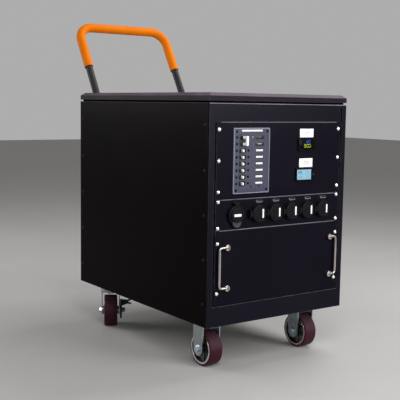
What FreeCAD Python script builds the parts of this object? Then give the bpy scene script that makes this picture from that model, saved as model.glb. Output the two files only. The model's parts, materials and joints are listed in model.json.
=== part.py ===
import FreeCAD, Part
import math
import os

# Portable power distribution box: a sheet-steel cabinet on four casters, with a 19-inch rack front
# of 12 units (breaker and meter panel, socket panel, battery panel), a lid and a push handle.
#
# Frame: +Z up, floor at z = 0, +X to the right as seen from the front, +Y towards the back.
# The origin is the middle of the footprint box, on the floor. Millimetres throughout.
# "d" is a distance behind the cabinet's front plane; a negative d stands in front of it.
# "drop" is a distance below the top of the rack opening.

V = FreeCAD.Vector
X_DIR = V(1, 0, 0)
Y_DIR = V(0, 1, 0)
Z_DIR = V(0, 0, 1)

# ---------------------------------------------------------------- driving dimensions
RACK_UNIT = 44.45
RACK_UNITS = 12
RACK_PANEL_WIDTH = 482.6
RACK_SCREW_SPACING = 465.1
RACK_HEIGHT = RACK_UNITS * RACK_UNIT

CABINET_WIDTH = 533.0
CABINET_DEPTH = 780.0
CASTER_HEIGHT = 146.0
BOTTOM_STRIP = 59.6
HEADER = 52.5
HEADER_SLOT = 6.3
CORNER_GAP = 5.0
SHEET = 2.0
FOLD = 30.0
PANEL_THICKNESS = 3.0
PANEL_PROUD = 1.0
SEAL_THICKNESS = 6.0
COVER_HEIGHT = 23.5
COVER_SLOPE = (12.0, 9.0)
FOLD_BEND = 3.0

RACK_BOTTOM = CASTER_HEIGHT + BOTTOM_STRIP
RACK_TOP = RACK_BOTTOM + RACK_HEIGHT
BODY_TOP = RACK_TOP + HEADER
HALF_WIDTH = CABINET_WIDTH / 2
INNER_HALF = HALF_WIDTH - SHEET
OPENING_HALF = 248.0
PANEL_FACE = -PANEL_PROUD
PANEL_BACK = PANEL_THICKNESS - PANEL_PROUD

TUBE_RADIUS = 12.7
GRIP_RADIUS = 16.5
GRIP_BORE = 13.1
HANDLE_HALF_SPAN = 188.0
HANDLE_STANDOFF = 19.0
HANDLE_TILT = 31.0
HANDLE_BEND_RADIUS = 150.0
HANDLE_CORNER_RADIUS = 58.0
HANDLE_BEND_Z = RACK_TOP + 68.0
HANDLE_TOP_Z = RACK_TOP + 328.0
HANDLE_FOOT_Z = RACK_TOP - 420.0
GRIP_END_Z = RACK_TOP + 178.0

FRONT_REACH = 22.0
HANDLE_REACH = (CABINET_DEPTH + HANDLE_STANDOFF + GRIP_RADIUS
                + (HANDLE_TOP_Z - HANDLE_BEND_Z) * math.tan(math.radians(HANDLE_TILT)))
FRONT_Y = (FRONT_REACH - HANDLE_REACH) / 2

BREAKER_PITCH = 19.05
BREAKER_ROWS = 8
BREAKER_PLATE_WIDTH = 133.35
BREAKER_PLATE_HEIGHT = 190.5
BREAKER_PLATE_THICKNESS = 4.0
BREAKER_PLATE_X = -115.5
BREAKER_PLATE_DROP = 113.0
FIRST_ROW_DROP = 45.2
TOGGLE_X = BREAKER_PLATE_X - 34.5
BREAKER_SCREW_OFFSET = 21.25
TOGGLE_PIVOT_D = 1.0
TOGGLE_LEAN = 15.0
BARREL_RADIUS = 8.0
BARREL_LENGTH = 9.0
TOGGLE_PIN_RADIUS = 1.5
RUNNING_GAP = 0.05

METER_X = 98.0
METER_DROP = 69.2
METER_SIZE = (69.0, 38.5)
MONITOR_X = 94.5
MONITOR_DROP = 160.8
MONITOR_SIZE = (76.0, 40.0)
BUTTON_OFFSET = 32.0
BUTTON_RADIUS = 3.0
BUTTON_TRAVEL = 1.0

SOCKET_DROP = 269.0
INLET_X = -171.0
OUTLET_FIRST_X = -88.2
OUTLET_PITCH = 64.1
OUTLET_COUNT = 5
HINGE_D = -10.0
HINGE_RADIUS = 2.8
HINGE_PIN_RADIUS = 1.3
OUTLET_RADIUS = 28.0
OUTLET_CAP_RADIUS = 26.0
OUTLET_HINGE_OFFSET = 32.0
INLET_RADIUS = 28.5
INLET_BOSS_RADIUS = 22.0
INLET_TAB_RADIUS = 16.0
INLET_TAB_OFFSET = 20.0
INLET_HINGE_OFFSET = 33.5
CAP_BACK_D = -5.4

POST_X = 202.5
POST_DROPS = (361.0, 480.0)
POST_RADIUS = 9.0
POST_HEIGHT = 12.0
PULL_REACH = 26.5
PULL_RADIUS = 4.2
PULL_PIVOT_D = -8.0
PULL_PIN_RADIUS = 2.0
PULL_KNUCKLE_LENGTH = 8.0

CASTER_X = 190.0
FRONT_CASTER_INSET = 103.0
REAR_CASTER_INSET = 85.0
WHEEL_RADIUS = 54.0
TREAD_WIDTH = 46.0
RIM_RADIUS = 47.0
HUB_WIDTH = 56.0
AXLE_RADIUS = 6.0
AXLE_Z = WHEEL_RADIUS
FORK_HALF_GAP = 29.0
FORK_THICKNESS = 3.5
FORK_OUTER = FORK_HALF_GAP + FORK_THICKNESS
CROWN_THICKNESS = 4.0
PLATE_THICKNESS = 4.0
PLATE_BOTTOM = CASTER_HEIGHT - PLATE_THICKNESS
CASTER_PLATE = (85.0, 100.0)
CASTER_BOLTS = (60.0, 80.0)
CASTER_BOLT_RADIUS = 4.0
TRAIL = 38.0

# Crown underside, half depth at the crown, and radius of the round end about the axle.
FRONT_FORK = (128.0, 25.0, 21.5)
SWIVEL_FORK = (114.0, 28.0, 17.0)
LEFT_SWIVEL_YAW = 29.0
RIGHT_SWIVEL_YAW = 35.0

BATTERY_SIZE = (436.0, 460.0, 210.0)
INVERTER_SIZE = (380.0, 400.0, 170.0)
BATTERY_FLOOR = RACK_BOTTOM + 4
INVERTER_FLOOR = BATTERY_FLOOR + BATTERY_SIZE[2] + 14


# ---------------------------------------------------------------- helpers
def at(x, d, z):
    """Point from x, distance behind the front plane, and height."""
    return V(x, FRONT_Y + d, z)


def level(drop):
    """Height of a point that lies this far below the top of the rack opening."""
    return RACK_TOP - drop


def block(x0, x1, d0, d1, z0, z1):
    """Box between two corners."""
    return Part.makeBox(x1 - x0, d1 - d0, z1 - z0, at(x0, d0, z0))


def rod(radius, length, x, d, z, direction):
    """Cylinder that starts at a point and runs along a direction."""
    return Part.makeCylinder(radius, length, at(x, d, z), direction)


def disc(radius, x, d0, d1, z):
    """Cylinder along the depth, from d0 to d1."""
    return rod(radius, d1 - d0, x, d0, z, Y_DIR)


def pin_z(radius, x, d, z, half_length):
    """Upright cylinder centred on a point."""
    return rod(radius, 2 * half_length, x, d, z - half_length, Z_DIR)


def joined(shapes):
    """One solid from several that touch or overlap."""
    return shapes[0].fuse(shapes[1:]).removeSplitter()


def cut(shape, tools):
    """Shape with each tool taken away."""
    return shape.cut(tools)


def rounded(shape, radius, wanted):
    """Fillet of every edge whose middle passes the test."""
    edges = [edge for edge in shape.Edges if wanted(edge.CenterOfMass)]
    return shape.makeFillet(radius, edges)


def round_fold(shape, half_length, d, z, inward):
    """Shape with the outer corner of a fold along X rounded.

    inward is -1 for a fold along a top edge and 1 for one along a bottom edge.
    """
    low, high = sorted((z, z + inward * FOLD_BEND))
    corner = block(-half_length, half_length, d, d + FOLD_BEND, low, high)
    round_bar = rod(FOLD_BEND, 2 * half_length, -half_length, d + FOLD_BEND, z + inward * FOLD_BEND, X_DIR)
    return shape.cut(corner.cut(round_bar))


def save(name, *shapes):
    """Write the node's solids to its own STEP file."""
    body = shapes[0] if len(shapes) == 1 else Part.makeCompound(list(shapes))
    body.exportStep(os.path.join("parts", name + ".step"))


def prism(points, start, reach):
    """Solid from a closed polygon carried along a vector."""
    face = Part.Face(Part.makePolygon(points + [points[0]]))
    solid = face.extrude(reach)
    solid.translate(start)
    return solid


# ---------------------------------------------------------------- cabinet
def front_frame():
    """Folded front plate; a slot parts its header from the right post, as it does the rack panels."""
    plate = block(-HALF_WIDTH, HALF_WIDTH, 0, SHEET, CASTER_HEIGHT, BODY_TOP)
    plate = rounded(plate, 1.5, lambda c: abs(c.x) > HALF_WIDTH - 0.1 and c.y < FRONT_Y + 0.1)
    opening = block(-OPENING_HALF, OPENING_HALF, -1, SHEET + 1, RACK_BOTTOM - 1, RACK_TOP + 1)
    slot = block(OPENING_HALF - HEADER_SLOT, OPENING_HALF, -1, SHEET + 1, RACK_TOP, BODY_TOP - 4)
    frame = [cut(plate, [opening, slot])]
    for x0, x1 in ((-INNER_HALF, SHEET - INNER_HALF), (INNER_HALF - SHEET, INNER_HALF)):
        frame.append(block(x0, x1, SHEET, FOLD, CASTER_HEIGHT + SHEET, BODY_TOP))
    frame.append(block(-INNER_HALF, INNER_HALF, SHEET, FOLD, BODY_TOP - SHEET, BODY_TOP))
    body = round_fold(joined(frame), HALF_WIDTH, 0, BODY_TOP, -1)
    return cut(body, side_screw_holes(FOLD / 2 + 5))


def rear_panel():
    back = CABINET_DEPTH
    panel = [block(-HALF_WIDTH, HALF_WIDTH, back - SHEET, back, CASTER_HEIGHT, BODY_TOP)]
    for x0, x1 in ((-INNER_HALF, SHEET - INNER_HALF), (INNER_HALF - SHEET, INNER_HALF)):
        panel.append(block(x0, x1, back - FOLD, back - SHEET, CASTER_HEIGHT + SHEET, BODY_TOP))
    panel.append(block(-INNER_HALF, INNER_HALF, back - FOLD, back - SHEET, BODY_TOP - SHEET, BODY_TOP))
    slots = []
    slot_half_length = 62.0
    slot_half_height = 3.0
    slot_pitch = 16.0
    for bank_z in (RACK_TOP - 40, RACK_BOTTOM + 190):
        for bank_x in (-82.0, 82.0):
            for row in range(10):
                z = bank_z - row * slot_pitch
                slots.append(block(bank_x - slot_half_length, bank_x + slot_half_length, back - SHEET - 1,
                                   back + 1, z - slot_half_height, z + slot_half_height))
    slots += side_screw_holes(CABINET_DEPTH - FOLD / 2 - 5)
    return cut(joined(panel), slots)


def side_panel(side):
    """Side sheet with a rounded fold along its top and a gap before the front frame; side is -1 for left."""
    top_bend = 1.8
    outer = side * HALF_WIDTH
    inner = side * INNER_HALF
    fold_edge = side * (INNER_HALF - 20)
    sheet = block(min(outer, inner), max(outer, inner), SHEET + CORNER_GAP, CABINET_DEPTH - SHEET,
                  CASTER_HEIGHT, BODY_TOP)
    fold = block(min(inner, fold_edge), max(inner, fold_edge), FOLD, CABINET_DEPTH - FOLD,
                 BODY_TOP - SHEET, BODY_TOP)
    holes = side_screw_holes(FOLD / 2 + 5) + side_screw_holes(CABINET_DEPTH - FOLD / 2 - 5)
    panel = rounded(joined([sheet, fold]), top_bend,
                    lambda c: abs(c.x - outer) < 0.1 and c.z > BODY_TOP - 0.1)
    return cut(panel, holes)


def side_screw_heights():
    """Heights of the five screws along each upright edge of a side panel."""
    top = RACK_TOP - 10
    pitch = 129.0
    return [top - pitch * k for k in range(5)]


def side_screw_holes(d):
    radius = 2.1
    return [rod(radius, CABINET_WIDTH + 2, -HALF_WIDTH - 1, d, z, X_DIR) for z in side_screw_heights()]


def side_screws():
    """Low button-head screws that hold the side sheets, twenty in all."""
    head_radius = 4.5
    head_height = 1.6
    shank_radius = 2.0
    shank_length = 2 * SHEET
    screws = []
    for side in (-1, 1):
        outward = V(side, 0, 0)
        for d in (FOLD / 2 + 5, CABINET_DEPTH - FOLD / 2 - 5):
            for z in side_screw_heights():
                head = Part.makeCone(head_radius, head_radius * 0.6, head_height,
                                     at(side * HALF_WIDTH, d, z), outward)
                shank = rod(shank_radius, shank_length, side * HALF_WIDTH, d, z, outward * -1)
                screws.append(head.fuse(shank))
    return screws


def base_pan():
    front, back = SHEET, CABINET_DEPTH - SHEET
    floor = block(-INNER_HALF, INNER_HALF, front, back, CASTER_HEIGHT, CASTER_HEIGHT + SHEET)
    holes = []
    for x, d in caster_places():
        for bolt in bolt_places(x, d):
            holes.append(rod(CASTER_BOLT_RADIUS + 0.3, 2 * SHEET, bolt[0], bolt[1], CASTER_HEIGHT - 1, Z_DIR))
    inset = 8.0
    ribs = []
    for side in (-1, 1):
        x = side * 120.0
        ribs.append(block(x - inset, x + inset, FOLD + inset, CABINET_DEPTH - FOLD - inset,
                          CASTER_HEIGHT + SHEET, CASTER_HEIGHT + 14))
    return cut(joined([floor] + ribs), holes)


def hipped_box(inset, z0, rise, z1):
    """Box inside the cabinet's outline with its four sides sloping inwards above the height z1 - rise."""
    run = rise * COVER_SLOPE[0] / COVER_SLOPE[1]
    rings = []
    for margin, z in ((inset, z1 - rise), (inset + run, z1)):
        x, front, back = HALF_WIDTH - margin, margin, CABINET_DEPTH - margin
        corners = [at(-x, front, z), at(x, front, z), at(x, back, z), at(-x, back, z)]
        rings.append(Part.makePolygon(corners + [corners[0]]))
    hips = Part.makeLoft(rings, True, True)
    x, front, back = HALF_WIDTH - inset, inset, CABINET_DEPTH - inset
    return joined([block(-x, x, front, back, z0, z1 - rise), hips])


def top_cover():
    """Pan-shaped lid with sloping top edges and an inward lip that sits on the seal."""
    bottom = BODY_TOP + SEAL_THICKNESS
    top = bottom + COVER_HEIGHT
    lip = 20.0
    run, rise = COVER_SLOPE
    crease_drop = SHEET * (math.hypot(run, rise) - rise) / run
    shell = hipped_box(0, bottom, rise, top)
    hollow = hipped_box(SHEET, bottom + SHEET, rise + crease_drop - SHEET, top - SHEET)
    mouth = block(lip - HALF_WIDTH, HALF_WIDTH - lip, lip, CABINET_DEPTH - lip,
                  bottom - 1, bottom + 2 * SHEET)
    return cut(shell, [hollow, mouth])


def cover_seal():
    inset = 7.0
    width = 12.0
    outer = block(inset - HALF_WIDTH, HALF_WIDTH - inset, inset, CABINET_DEPTH - inset,
                  BODY_TOP, BODY_TOP + SEAL_THICKNESS)
    edge = inset + width
    inner = block(edge - HALF_WIDTH, HALF_WIDTH - edge, edge, CABINET_DEPTH - edge,
                  BODY_TOP - 1, BODY_TOP + SEAL_THICKNESS + 1)
    return cut(outer, [inner])


# ---------------------------------------------------------------- rack front
PANEL_SCREW_DROPS = (22.225, 111.125, 200.025, 228.6, 304.8, 349.25, 495.3)
SCREW_SHANK = 2.9


def rack_screw_places():
    half = RACK_SCREW_SPACING / 2
    return [(x, level(drop)) for x in (-half, half) for drop in PANEL_SCREW_DROPS]


def rack_rails():
    """Two upright angles that the rack panels screw to."""
    face_inner = 226.0
    rails = []
    holes = [disc(SCREW_SHANK + 0.2, x, 0, 8, z) for x, z in rack_screw_places()]
    outer = INNER_HALF - SHEET - 0.3
    leg_depth = 40.0
    for side in (-1, 1):
        low, high = sorted((side * face_inner, side * outer))
        web_low, web_high = sorted((side * (outer - SHEET), side * outer))
        face = block(low, high, PANEL_BACK, PANEL_BACK + SHEET, RACK_BOTTOM, RACK_TOP)
        web = block(web_low, web_high, PANEL_BACK + SHEET, leg_depth, RACK_BOTTOM, RACK_TOP)
        rails.append(cut(joined([face, web]), holes))
    return rails


def rack_screws():
    """Fourteen dome-head screws through the ears of the rack panels."""
    head_radius = 5.8
    head_height = 3.6
    sphere_radius = (head_radius ** 2 + head_height ** 2) / (2 * head_height)
    screws = []
    for x, z in rack_screw_places():
        ball = Part.makeSphere(sphere_radius, at(x, PANEL_FACE - head_height + sphere_radius, z))
        dome = ball.common(disc(head_radius, x, PANEL_FACE - head_height - 1, PANEL_FACE, z))
        screws.append(dome.fuse(disc(SCREW_SHANK, x, PANEL_FACE, 12, z)))
    return screws


def rack_panel(top_drop, units, openings):
    """Rack panel with flat ears and, between them, rounded folds along the top and bottom edges."""
    gap = 0.4
    fold_half = 225.0
    fold_depth = 17.0
    top = level(top_drop) - gap
    bottom = level(top_drop + units * RACK_UNIT) + gap
    half = RACK_PANEL_WIDTH / 2
    body = [block(-half, half, PANEL_FACE, PANEL_BACK, bottom, top)]
    for edge, inward in ((top, -1), (bottom, 1)):
        low, high = sorted((edge, edge + inward * PANEL_THICKNESS))
        body.append(block(-fold_half, fold_half, PANEL_BACK, fold_depth, low, high))
    panel = joined(body)
    for edge, inward in ((top, -1), (bottom, 1)):
        panel = round_fold(panel, fold_half, PANEL_FACE, edge, inward)
    holes = [disc(SCREW_SHANK + 0.3, x, -5, 8, z) for x, z in rack_screw_places()]
    return cut(panel, holes + openings)


def row_level(row):
    return level(FIRST_ROW_DROP + BREAKER_PITCH * row)


def meter_panel():
    body_half = 28.5
    openings = [
        block(TOGGLE_X - body_half, TOGGLE_X + body_half, -5, 8,
              row_level(BREAKER_ROWS - 1) - 10.2, row_level(0) + 10.2),
        behind_bezel(METER_X, METER_DROP, METER_SIZE, -5, 8, 0),
        behind_bezel(MONITOR_X, MONITOR_DROP, MONITOR_SIZE, -5, 8, 0),
    ]
    return rack_panel(0, 5, openings)


def outlet_panel():
    barrel_gap = 0.4
    openings = [disc(23.0 + barrel_gap, INLET_X, -5, 8, level(SOCKET_DROP))]
    for x in outlet_places():
        openings.append(disc(22.0 + barrel_gap, x, -5, 8, level(SOCKET_DROP)))
    return rack_panel(5 * RACK_UNIT, 2, openings)


def battery_panel():
    stud_hole = 3.2
    openings = [disc(stud_hole, x, -5, 8, level(drop)) for x in (-POST_X, POST_X) for drop in POST_DROPS]
    return rack_panel(7 * RACK_UNIT, 5, openings)


# ---------------------------------------------------------------- breakers
def breaker_plate():
    """Thick moulded plate with a bevelled rim and one window for each breaker nose."""
    half_w, half_h = BREAKER_PLATE_WIDTH / 2, BREAKER_PLATE_HEIGHT / 2
    z = level(BREAKER_PLATE_DROP)
    front = PANEL_FACE - BREAKER_PLATE_THICKNESS
    plate = block(BREAKER_PLATE_X - half_w, BREAKER_PLATE_X + half_w, front, PANEL_FACE,
                  z - half_h, z + half_h)
    front_edges = [e for e in plate.Edges if abs(e.CenterOfMass.y - FRONT_Y - front) < 0.01]
    plate = plate.makeChamfer(2.0, front_edges)
    holes = [block(TOGGLE_X - 11.2, TOGGLE_X + 11.2, front - 1, 1, row_level(r) - 6.7, row_level(r) + 6.7)
             for r in range(BREAKER_ROWS)]
    holes += [disc(1.6, x, front - 1, 1, z) for x, z in breaker_screw_places()]
    return cut(plate, holes)


def breaker_screw_places():
    """Two screws beside each breaker and one in each corner of the plate."""
    places = []
    for row in range(BREAKER_ROWS):
        for side in (-1, 1):
            places.append((TOGGLE_X + side * BREAKER_SCREW_OFFSET, row_level(row)))
    for x in (-56.5, 56.5):
        for dz in (-85.0, 85.0):
            places.append((BREAKER_PLATE_X + x, level(BREAKER_PLATE_DROP) + dz))
    return places


def breaker_screws():
    """Small pan-head screws in the face of the breaker plate."""
    front = PANEL_FACE - BREAKER_PLATE_THICKNESS
    screws = []
    for x, z in breaker_screw_places():
        head = rounded(disc(3.2, x, front - 1.6, front, z), 0.8, lambda c: c.y < FRONT_Y + front - 1.5)
        screws.append(head.fuse(disc(1.5, x, front, PANEL_FACE, z)))
    return screws


def breaker_bodies():
    """Eight breaker cases with the noses that carry the toggles."""
    front = PANEL_FACE - BREAKER_PLATE_THICKNESS
    bodies = []
    for row in range(BREAKER_ROWS):
        z = row_level(row)
        case = block(TOGGLE_X - 27.5, TOGGLE_X + 27.5, PANEL_FACE, 54, z - 9.1, z + 9.1)
        nose = block(TOGGLE_X - 11, TOGGLE_X + 11, front - 1, PANEL_FACE, z - 6.5, z + 6.5)
        cavity = block(TOGGLE_X - 9.5, TOGGLE_X + 9.5, front - 2, 11, z - 4.75, z + 4.75)
        bearing = pin_z(TOGGLE_PIN_RADIUS + RUNNING_GAP, TOGGLE_X, TOGGLE_PIVOT_D, z, 6.6)
        bodies.append(cut(joined([case, nose]), [cavity, bearing]))
    return bodies


def toggle_lever(row, length):
    """Barrel, pin and paddle of one toggle, pointing straight out."""
    z = row_level(row)
    barrel = pin_z(BARREL_RADIUS, TOGGLE_X, TOGGLE_PIVOT_D, z, BARREL_LENGTH / 2)
    pin = pin_z(TOGGLE_PIN_RADIUS, TOGGLE_X, TOGGLE_PIVOT_D, z, 6.4)
    tip = TOGGLE_PIVOT_D - length
    paddle = block(TOGGLE_X - 2.75, TOGGLE_X + 2.75, tip, TOGGLE_PIVOT_D, z - 4.5, z + 4.5)
    paddle = rounded(paddle, 2.4, lambda c: c.y < FRONT_Y + tip + 0.1 and abs(c.z - z) < 0.1)
    return [barrel, pin, paddle]


def lean(shape, degrees):
    """Turn about the toggles' own pivot line; positive leans to the right."""
    shape.rotate(at(TOGGLE_X, TOGGLE_PIVOT_D, 0), Z_DIR, degrees)
    return shape


def branch_toggle(row):
    return lean(joined(toggle_lever(row, 17.0)), -TOGGLE_LEAN)


def main_toggle():
    """Two levers under one tie bar, so that both poles switch together."""
    tie = block(TOGGLE_X - 4.5, TOGGLE_X + 4.5, TOGGLE_PIVOT_D - 23, TOGGLE_PIVOT_D - 18,
                row_level(1) - 4.5, row_level(0) + 4.5)
    tie = rounded(tie, 1.5, lambda c: abs(c.z - (row_level(0) + row_level(1)) / 2) < 0.1)
    pieces = toggle_lever(0, 19.0) + toggle_lever(1, 19.0) + [tie]
    return lean(joined(pieces), TOGGLE_LEAN)


# ---------------------------------------------------------------- meters
def behind_bezel(x, drop, size, d0, d1, shrink):
    """Box of a meter's case, 2 mm inside its bezel plus any extra shrink."""
    half_w, half_h = size[0] / 2 - 2 - shrink, size[1] / 2 - 2 - shrink
    return block(x - half_w, x + half_w, d0, d1, level(drop) - half_h, level(drop) + half_h)


def bezel(x, drop, size, front):
    half_w, half_h = size[0] / 2, size[1] / 2
    z = level(drop)
    frame = block(x - half_w, x + half_w, front, PANEL_FACE, z - half_h, z + half_h)
    frame = rounded(frame, 3.0, lambda c: abs(c.y - FRONT_Y - (front + PANEL_FACE) / 2) < 0.1)
    return rounded(frame, 0.9, lambda c: c.y < FRONT_Y + front + 0.1)


def ac_meter():
    front = -5.5
    rim = 4.0
    body = joined([bezel(METER_X, METER_DROP, METER_SIZE, front),
                   behind_bezel(METER_X, METER_DROP, METER_SIZE, PANEL_FACE, 30, 0.3)])
    window = block(METER_X - METER_SIZE[0] / 2 + rim, METER_X + METER_SIZE[0] / 2 - rim, front - 1, front + 1,
                   level(METER_DROP) - METER_SIZE[1] / 2 + rim, level(METER_DROP) + METER_SIZE[1] / 2 - rim)
    return cut(body, [window])


def battery_monitor():
    front = -5.5
    half_w, half_h = MONITOR_SIZE[0] / 2, MONITOR_SIZE[1] / 2
    body = joined([bezel(MONITOR_X, MONITOR_DROP, MONITOR_SIZE, front),
                   behind_bezel(MONITOR_X, MONITOR_DROP, MONITOR_SIZE, PANEL_FACE, 26, 0.3)])
    window = block(MONITOR_X - half_w + 5, MONITOR_X + half_w - 13.5, front - 1, front + 1,
                   level(MONITOR_DROP) - half_h + 4.5, level(MONITOR_DROP) + half_h - 4.5)
    well = disc(BUTTON_RADIUS + 0.1, MONITOR_X + BUTTON_OFFSET, front - 1, 6, level(MONITOR_DROP))
    return cut(body, [window, well])


def monitor_button():
    cap = disc(BUTTON_RADIUS, MONITOR_X + BUTTON_OFFSET, -5.5 - BUTTON_TRAVEL - 0.8, 3, level(MONITOR_DROP))
    return rounded(cap, 0.7, lambda c: c.y < FRONT_Y - 5.5)


# ---------------------------------------------------------------- sockets
def outlet_places():
    return [OUTLET_FIRST_X + OUTLET_PITCH * k for k in range(OUTLET_COUNT)]


def outlet_housing(x):
    """Round socket with a shallow recess, contact slots and a hinge lug on its left."""
    z = level(SOCKET_DROP)
    hinge_x = x - OUTLET_HINGE_OFFSET
    flange = disc(OUTLET_RADIUS, x, -5, PANEL_FACE, z)
    barrel = disc(22.0, x, PANEL_FACE, 36, z)
    lugs = []
    for z0 in (z - 13, z + 8):
        lugs.append(rod(HINGE_RADIUS, 5, hinge_x, HINGE_D, z0, Z_DIR))
        lugs.append(block(hinge_x - HINGE_RADIUS, hinge_x + HINGE_RADIUS, HINGE_D, PANEL_FACE, z0, z0 + 5))
        lugs.append(block(hinge_x, x - 22, -5, PANEL_FACE, z0, z0 + 5))
    pin_hole = pin_z(HINGE_PIN_RADIUS + RUNNING_GAP, hinge_x, HINGE_D, z, 14)
    recess = disc(19.0, x, -6, 3, z)
    clear = block(hinge_x - 4, x - OUTLET_CAP_RADIUS + 4.5, -14, -5, z - 7.9, z + 7.9)
    slots = [block(x + s - 1.1, x + s + 1.1, 2, 20, z + 1, z + 9) for s in (-6.35, 6.35)]
    ground = disc(2.6, x, 2, 20, z - 8)
    return cut(joined([flange, barrel] + lugs), [recess, pin_hole, clear, ground] + slots)


def outlet_cap(x):
    """Round lid, hollow underneath, that swings on a pin at its left."""
    z = level(SOCKET_DROP)
    hinge_x = x - OUTLET_HINGE_OFFSET
    lid = disc(OUTLET_CAP_RADIUS, x, -14.5, CAP_BACK_D, z)
    lid = rounded(lid, 2.0, lambda c: c.y < FRONT_Y - 14.4)
    hollow = disc(OUTLET_CAP_RADIUS - 2.5, x, -11.5, CAP_BACK_D + 1, z)
    arm = block(hinge_x, x - 24, HINGE_D - HINGE_RADIUS, HINGE_D + 0.5, z - 7.5, z + 7.5)
    knuckle = pin_z(HINGE_RADIUS, hinge_x, HINGE_D, z, 7.5)
    pin = pin_z(HINGE_PIN_RADIUS, hinge_x, HINGE_D, z, 12.8)
    lip_angle = math.radians(-50)
    lip_x, lip_z = x + OUTLET_CAP_RADIUS * math.cos(lip_angle), z + OUTLET_CAP_RADIUS * math.sin(lip_angle)
    lip = disc(5.0, lip_x, -12.0, -8.5, lip_z).cut(disc(OUTLET_CAP_RADIUS - 1, x, -13, -8, z))
    return joined([cut(lid, [hollow]), arm, knuckle, pin, lip])


def inlet_housing():
    """Power inlet with three contact pins in a deep round recess and a hinge lug above it."""
    x, z = INLET_X, level(SOCKET_DROP)
    hinge_z = z + INLET_HINGE_OFFSET
    flange = disc(INLET_RADIUS, x, -5, PANEL_FACE, z)
    barrel = disc(23.0, x, PANEL_FACE, 40, z)
    pad = block(x - 9, x + 9, -3, PANEL_FACE, z + 20, z + 45)
    lugs = []
    for x0 in (x - 10, x + 6):
        lugs.append(rod(HINGE_RADIUS, 4, x0, HINGE_D, hinge_z, X_DIR))
        lugs.append(block(x0, x0 + 4, HINGE_D, PANEL_FACE, hinge_z - HINGE_RADIUS, hinge_z + HINGE_RADIUS))
    clear = block(x - 5.9, x + 5.9, -14, -5, z + 26, hinge_z + 4)
    recess = disc(17.5, x, -6, 30, z)
    pin_hole = rod(HINGE_PIN_RADIUS + RUNNING_GAP, 24, x - 12, HINGE_D, hinge_z, X_DIR)
    shell = cut(joined([flange, barrel, pad] + lugs), [recess, pin_hole, clear])
    contacts = []
    for turn in (90, 210, 330):
        angle = math.radians(turn)
        contacts.append(disc(2.4, x + 9 * math.cos(angle), 14, 31, z + 9 * math.sin(angle)))
    return joined([shell] + contacts)


def inlet_cap():
    """Round lid with a raised boss and a thumb tab below it, that swings up on a pin above it."""
    x, z = INLET_X, level(SOCKET_DROP)
    hinge_z = z + INLET_HINGE_OFFSET
    lid = disc(INLET_RADIUS - 0.5, x, -11.0, CAP_BACK_D, z)
    lid = rounded(lid, 1.5, lambda c: c.y < FRONT_Y - 10.9)
    boss = disc(INLET_BOSS_RADIUS, x, -15.2, CAP_BACK_D, z)
    boss = rounded(boss, 2.0, lambda c: c.y < FRONT_Y - 15.1)
    tab = disc(INLET_TAB_RADIUS, x, -12.5, CAP_BACK_D - 0.6, z - INLET_TAB_OFFSET)
    tab = rounded(tab, 1.5, lambda c: c.y < FRONT_Y - 12.4)
    hollow = disc(INLET_BOSS_RADIUS - 2.5, x, -12.7, CAP_BACK_D + 1, z)
    arm = block(x - 5.5, x + 5.5, HINGE_D - HINGE_RADIUS, HINGE_D + 0.5, z + 25, hinge_z)
    knuckle = rod(HINGE_RADIUS, 11, x - 5.5, HINGE_D, hinge_z, X_DIR)
    pin = rod(HINGE_PIN_RADIUS, 20, x - 10, HINGE_D, hinge_z, X_DIR)
    return joined([cut(joined([lid, boss, tab]), [hollow]), arm, knuckle, pin])


# ---------------------------------------------------------------- pull handles
def pull_handle_posts():
    """Four round posts, each with a slot that opens outwards for a knuckle, and studs through the panel."""
    inner_reach = 4.8
    outer_reach = 10.0
    posts = []
    for side in (-1, 1):
        for drop in POST_DROPS:
            x, z = side * POST_X, level(drop)
            front = PANEL_FACE - POST_HEIGHT
            post = disc(POST_RADIUS, x, front, PANEL_FACE, z)
            post = rounded(post, 1.0, lambda c: c.y < FRONT_Y + front + 0.1)
            stud = disc(3.0, x, PANEL_FACE, 16, z)
            low, high = sorted((x - side * inner_reach, x + side * outer_reach))
            slot = block(low, high, front - 1, -3, z - 4.3, z + 4.3)
            bearing = pin_z(PULL_PIN_RADIUS + RUNNING_GAP, x, PULL_PIVOT_D, z, 9)
            posts.append(cut(joined([post, stud]), [slot, bearing]))
    return posts


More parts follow.
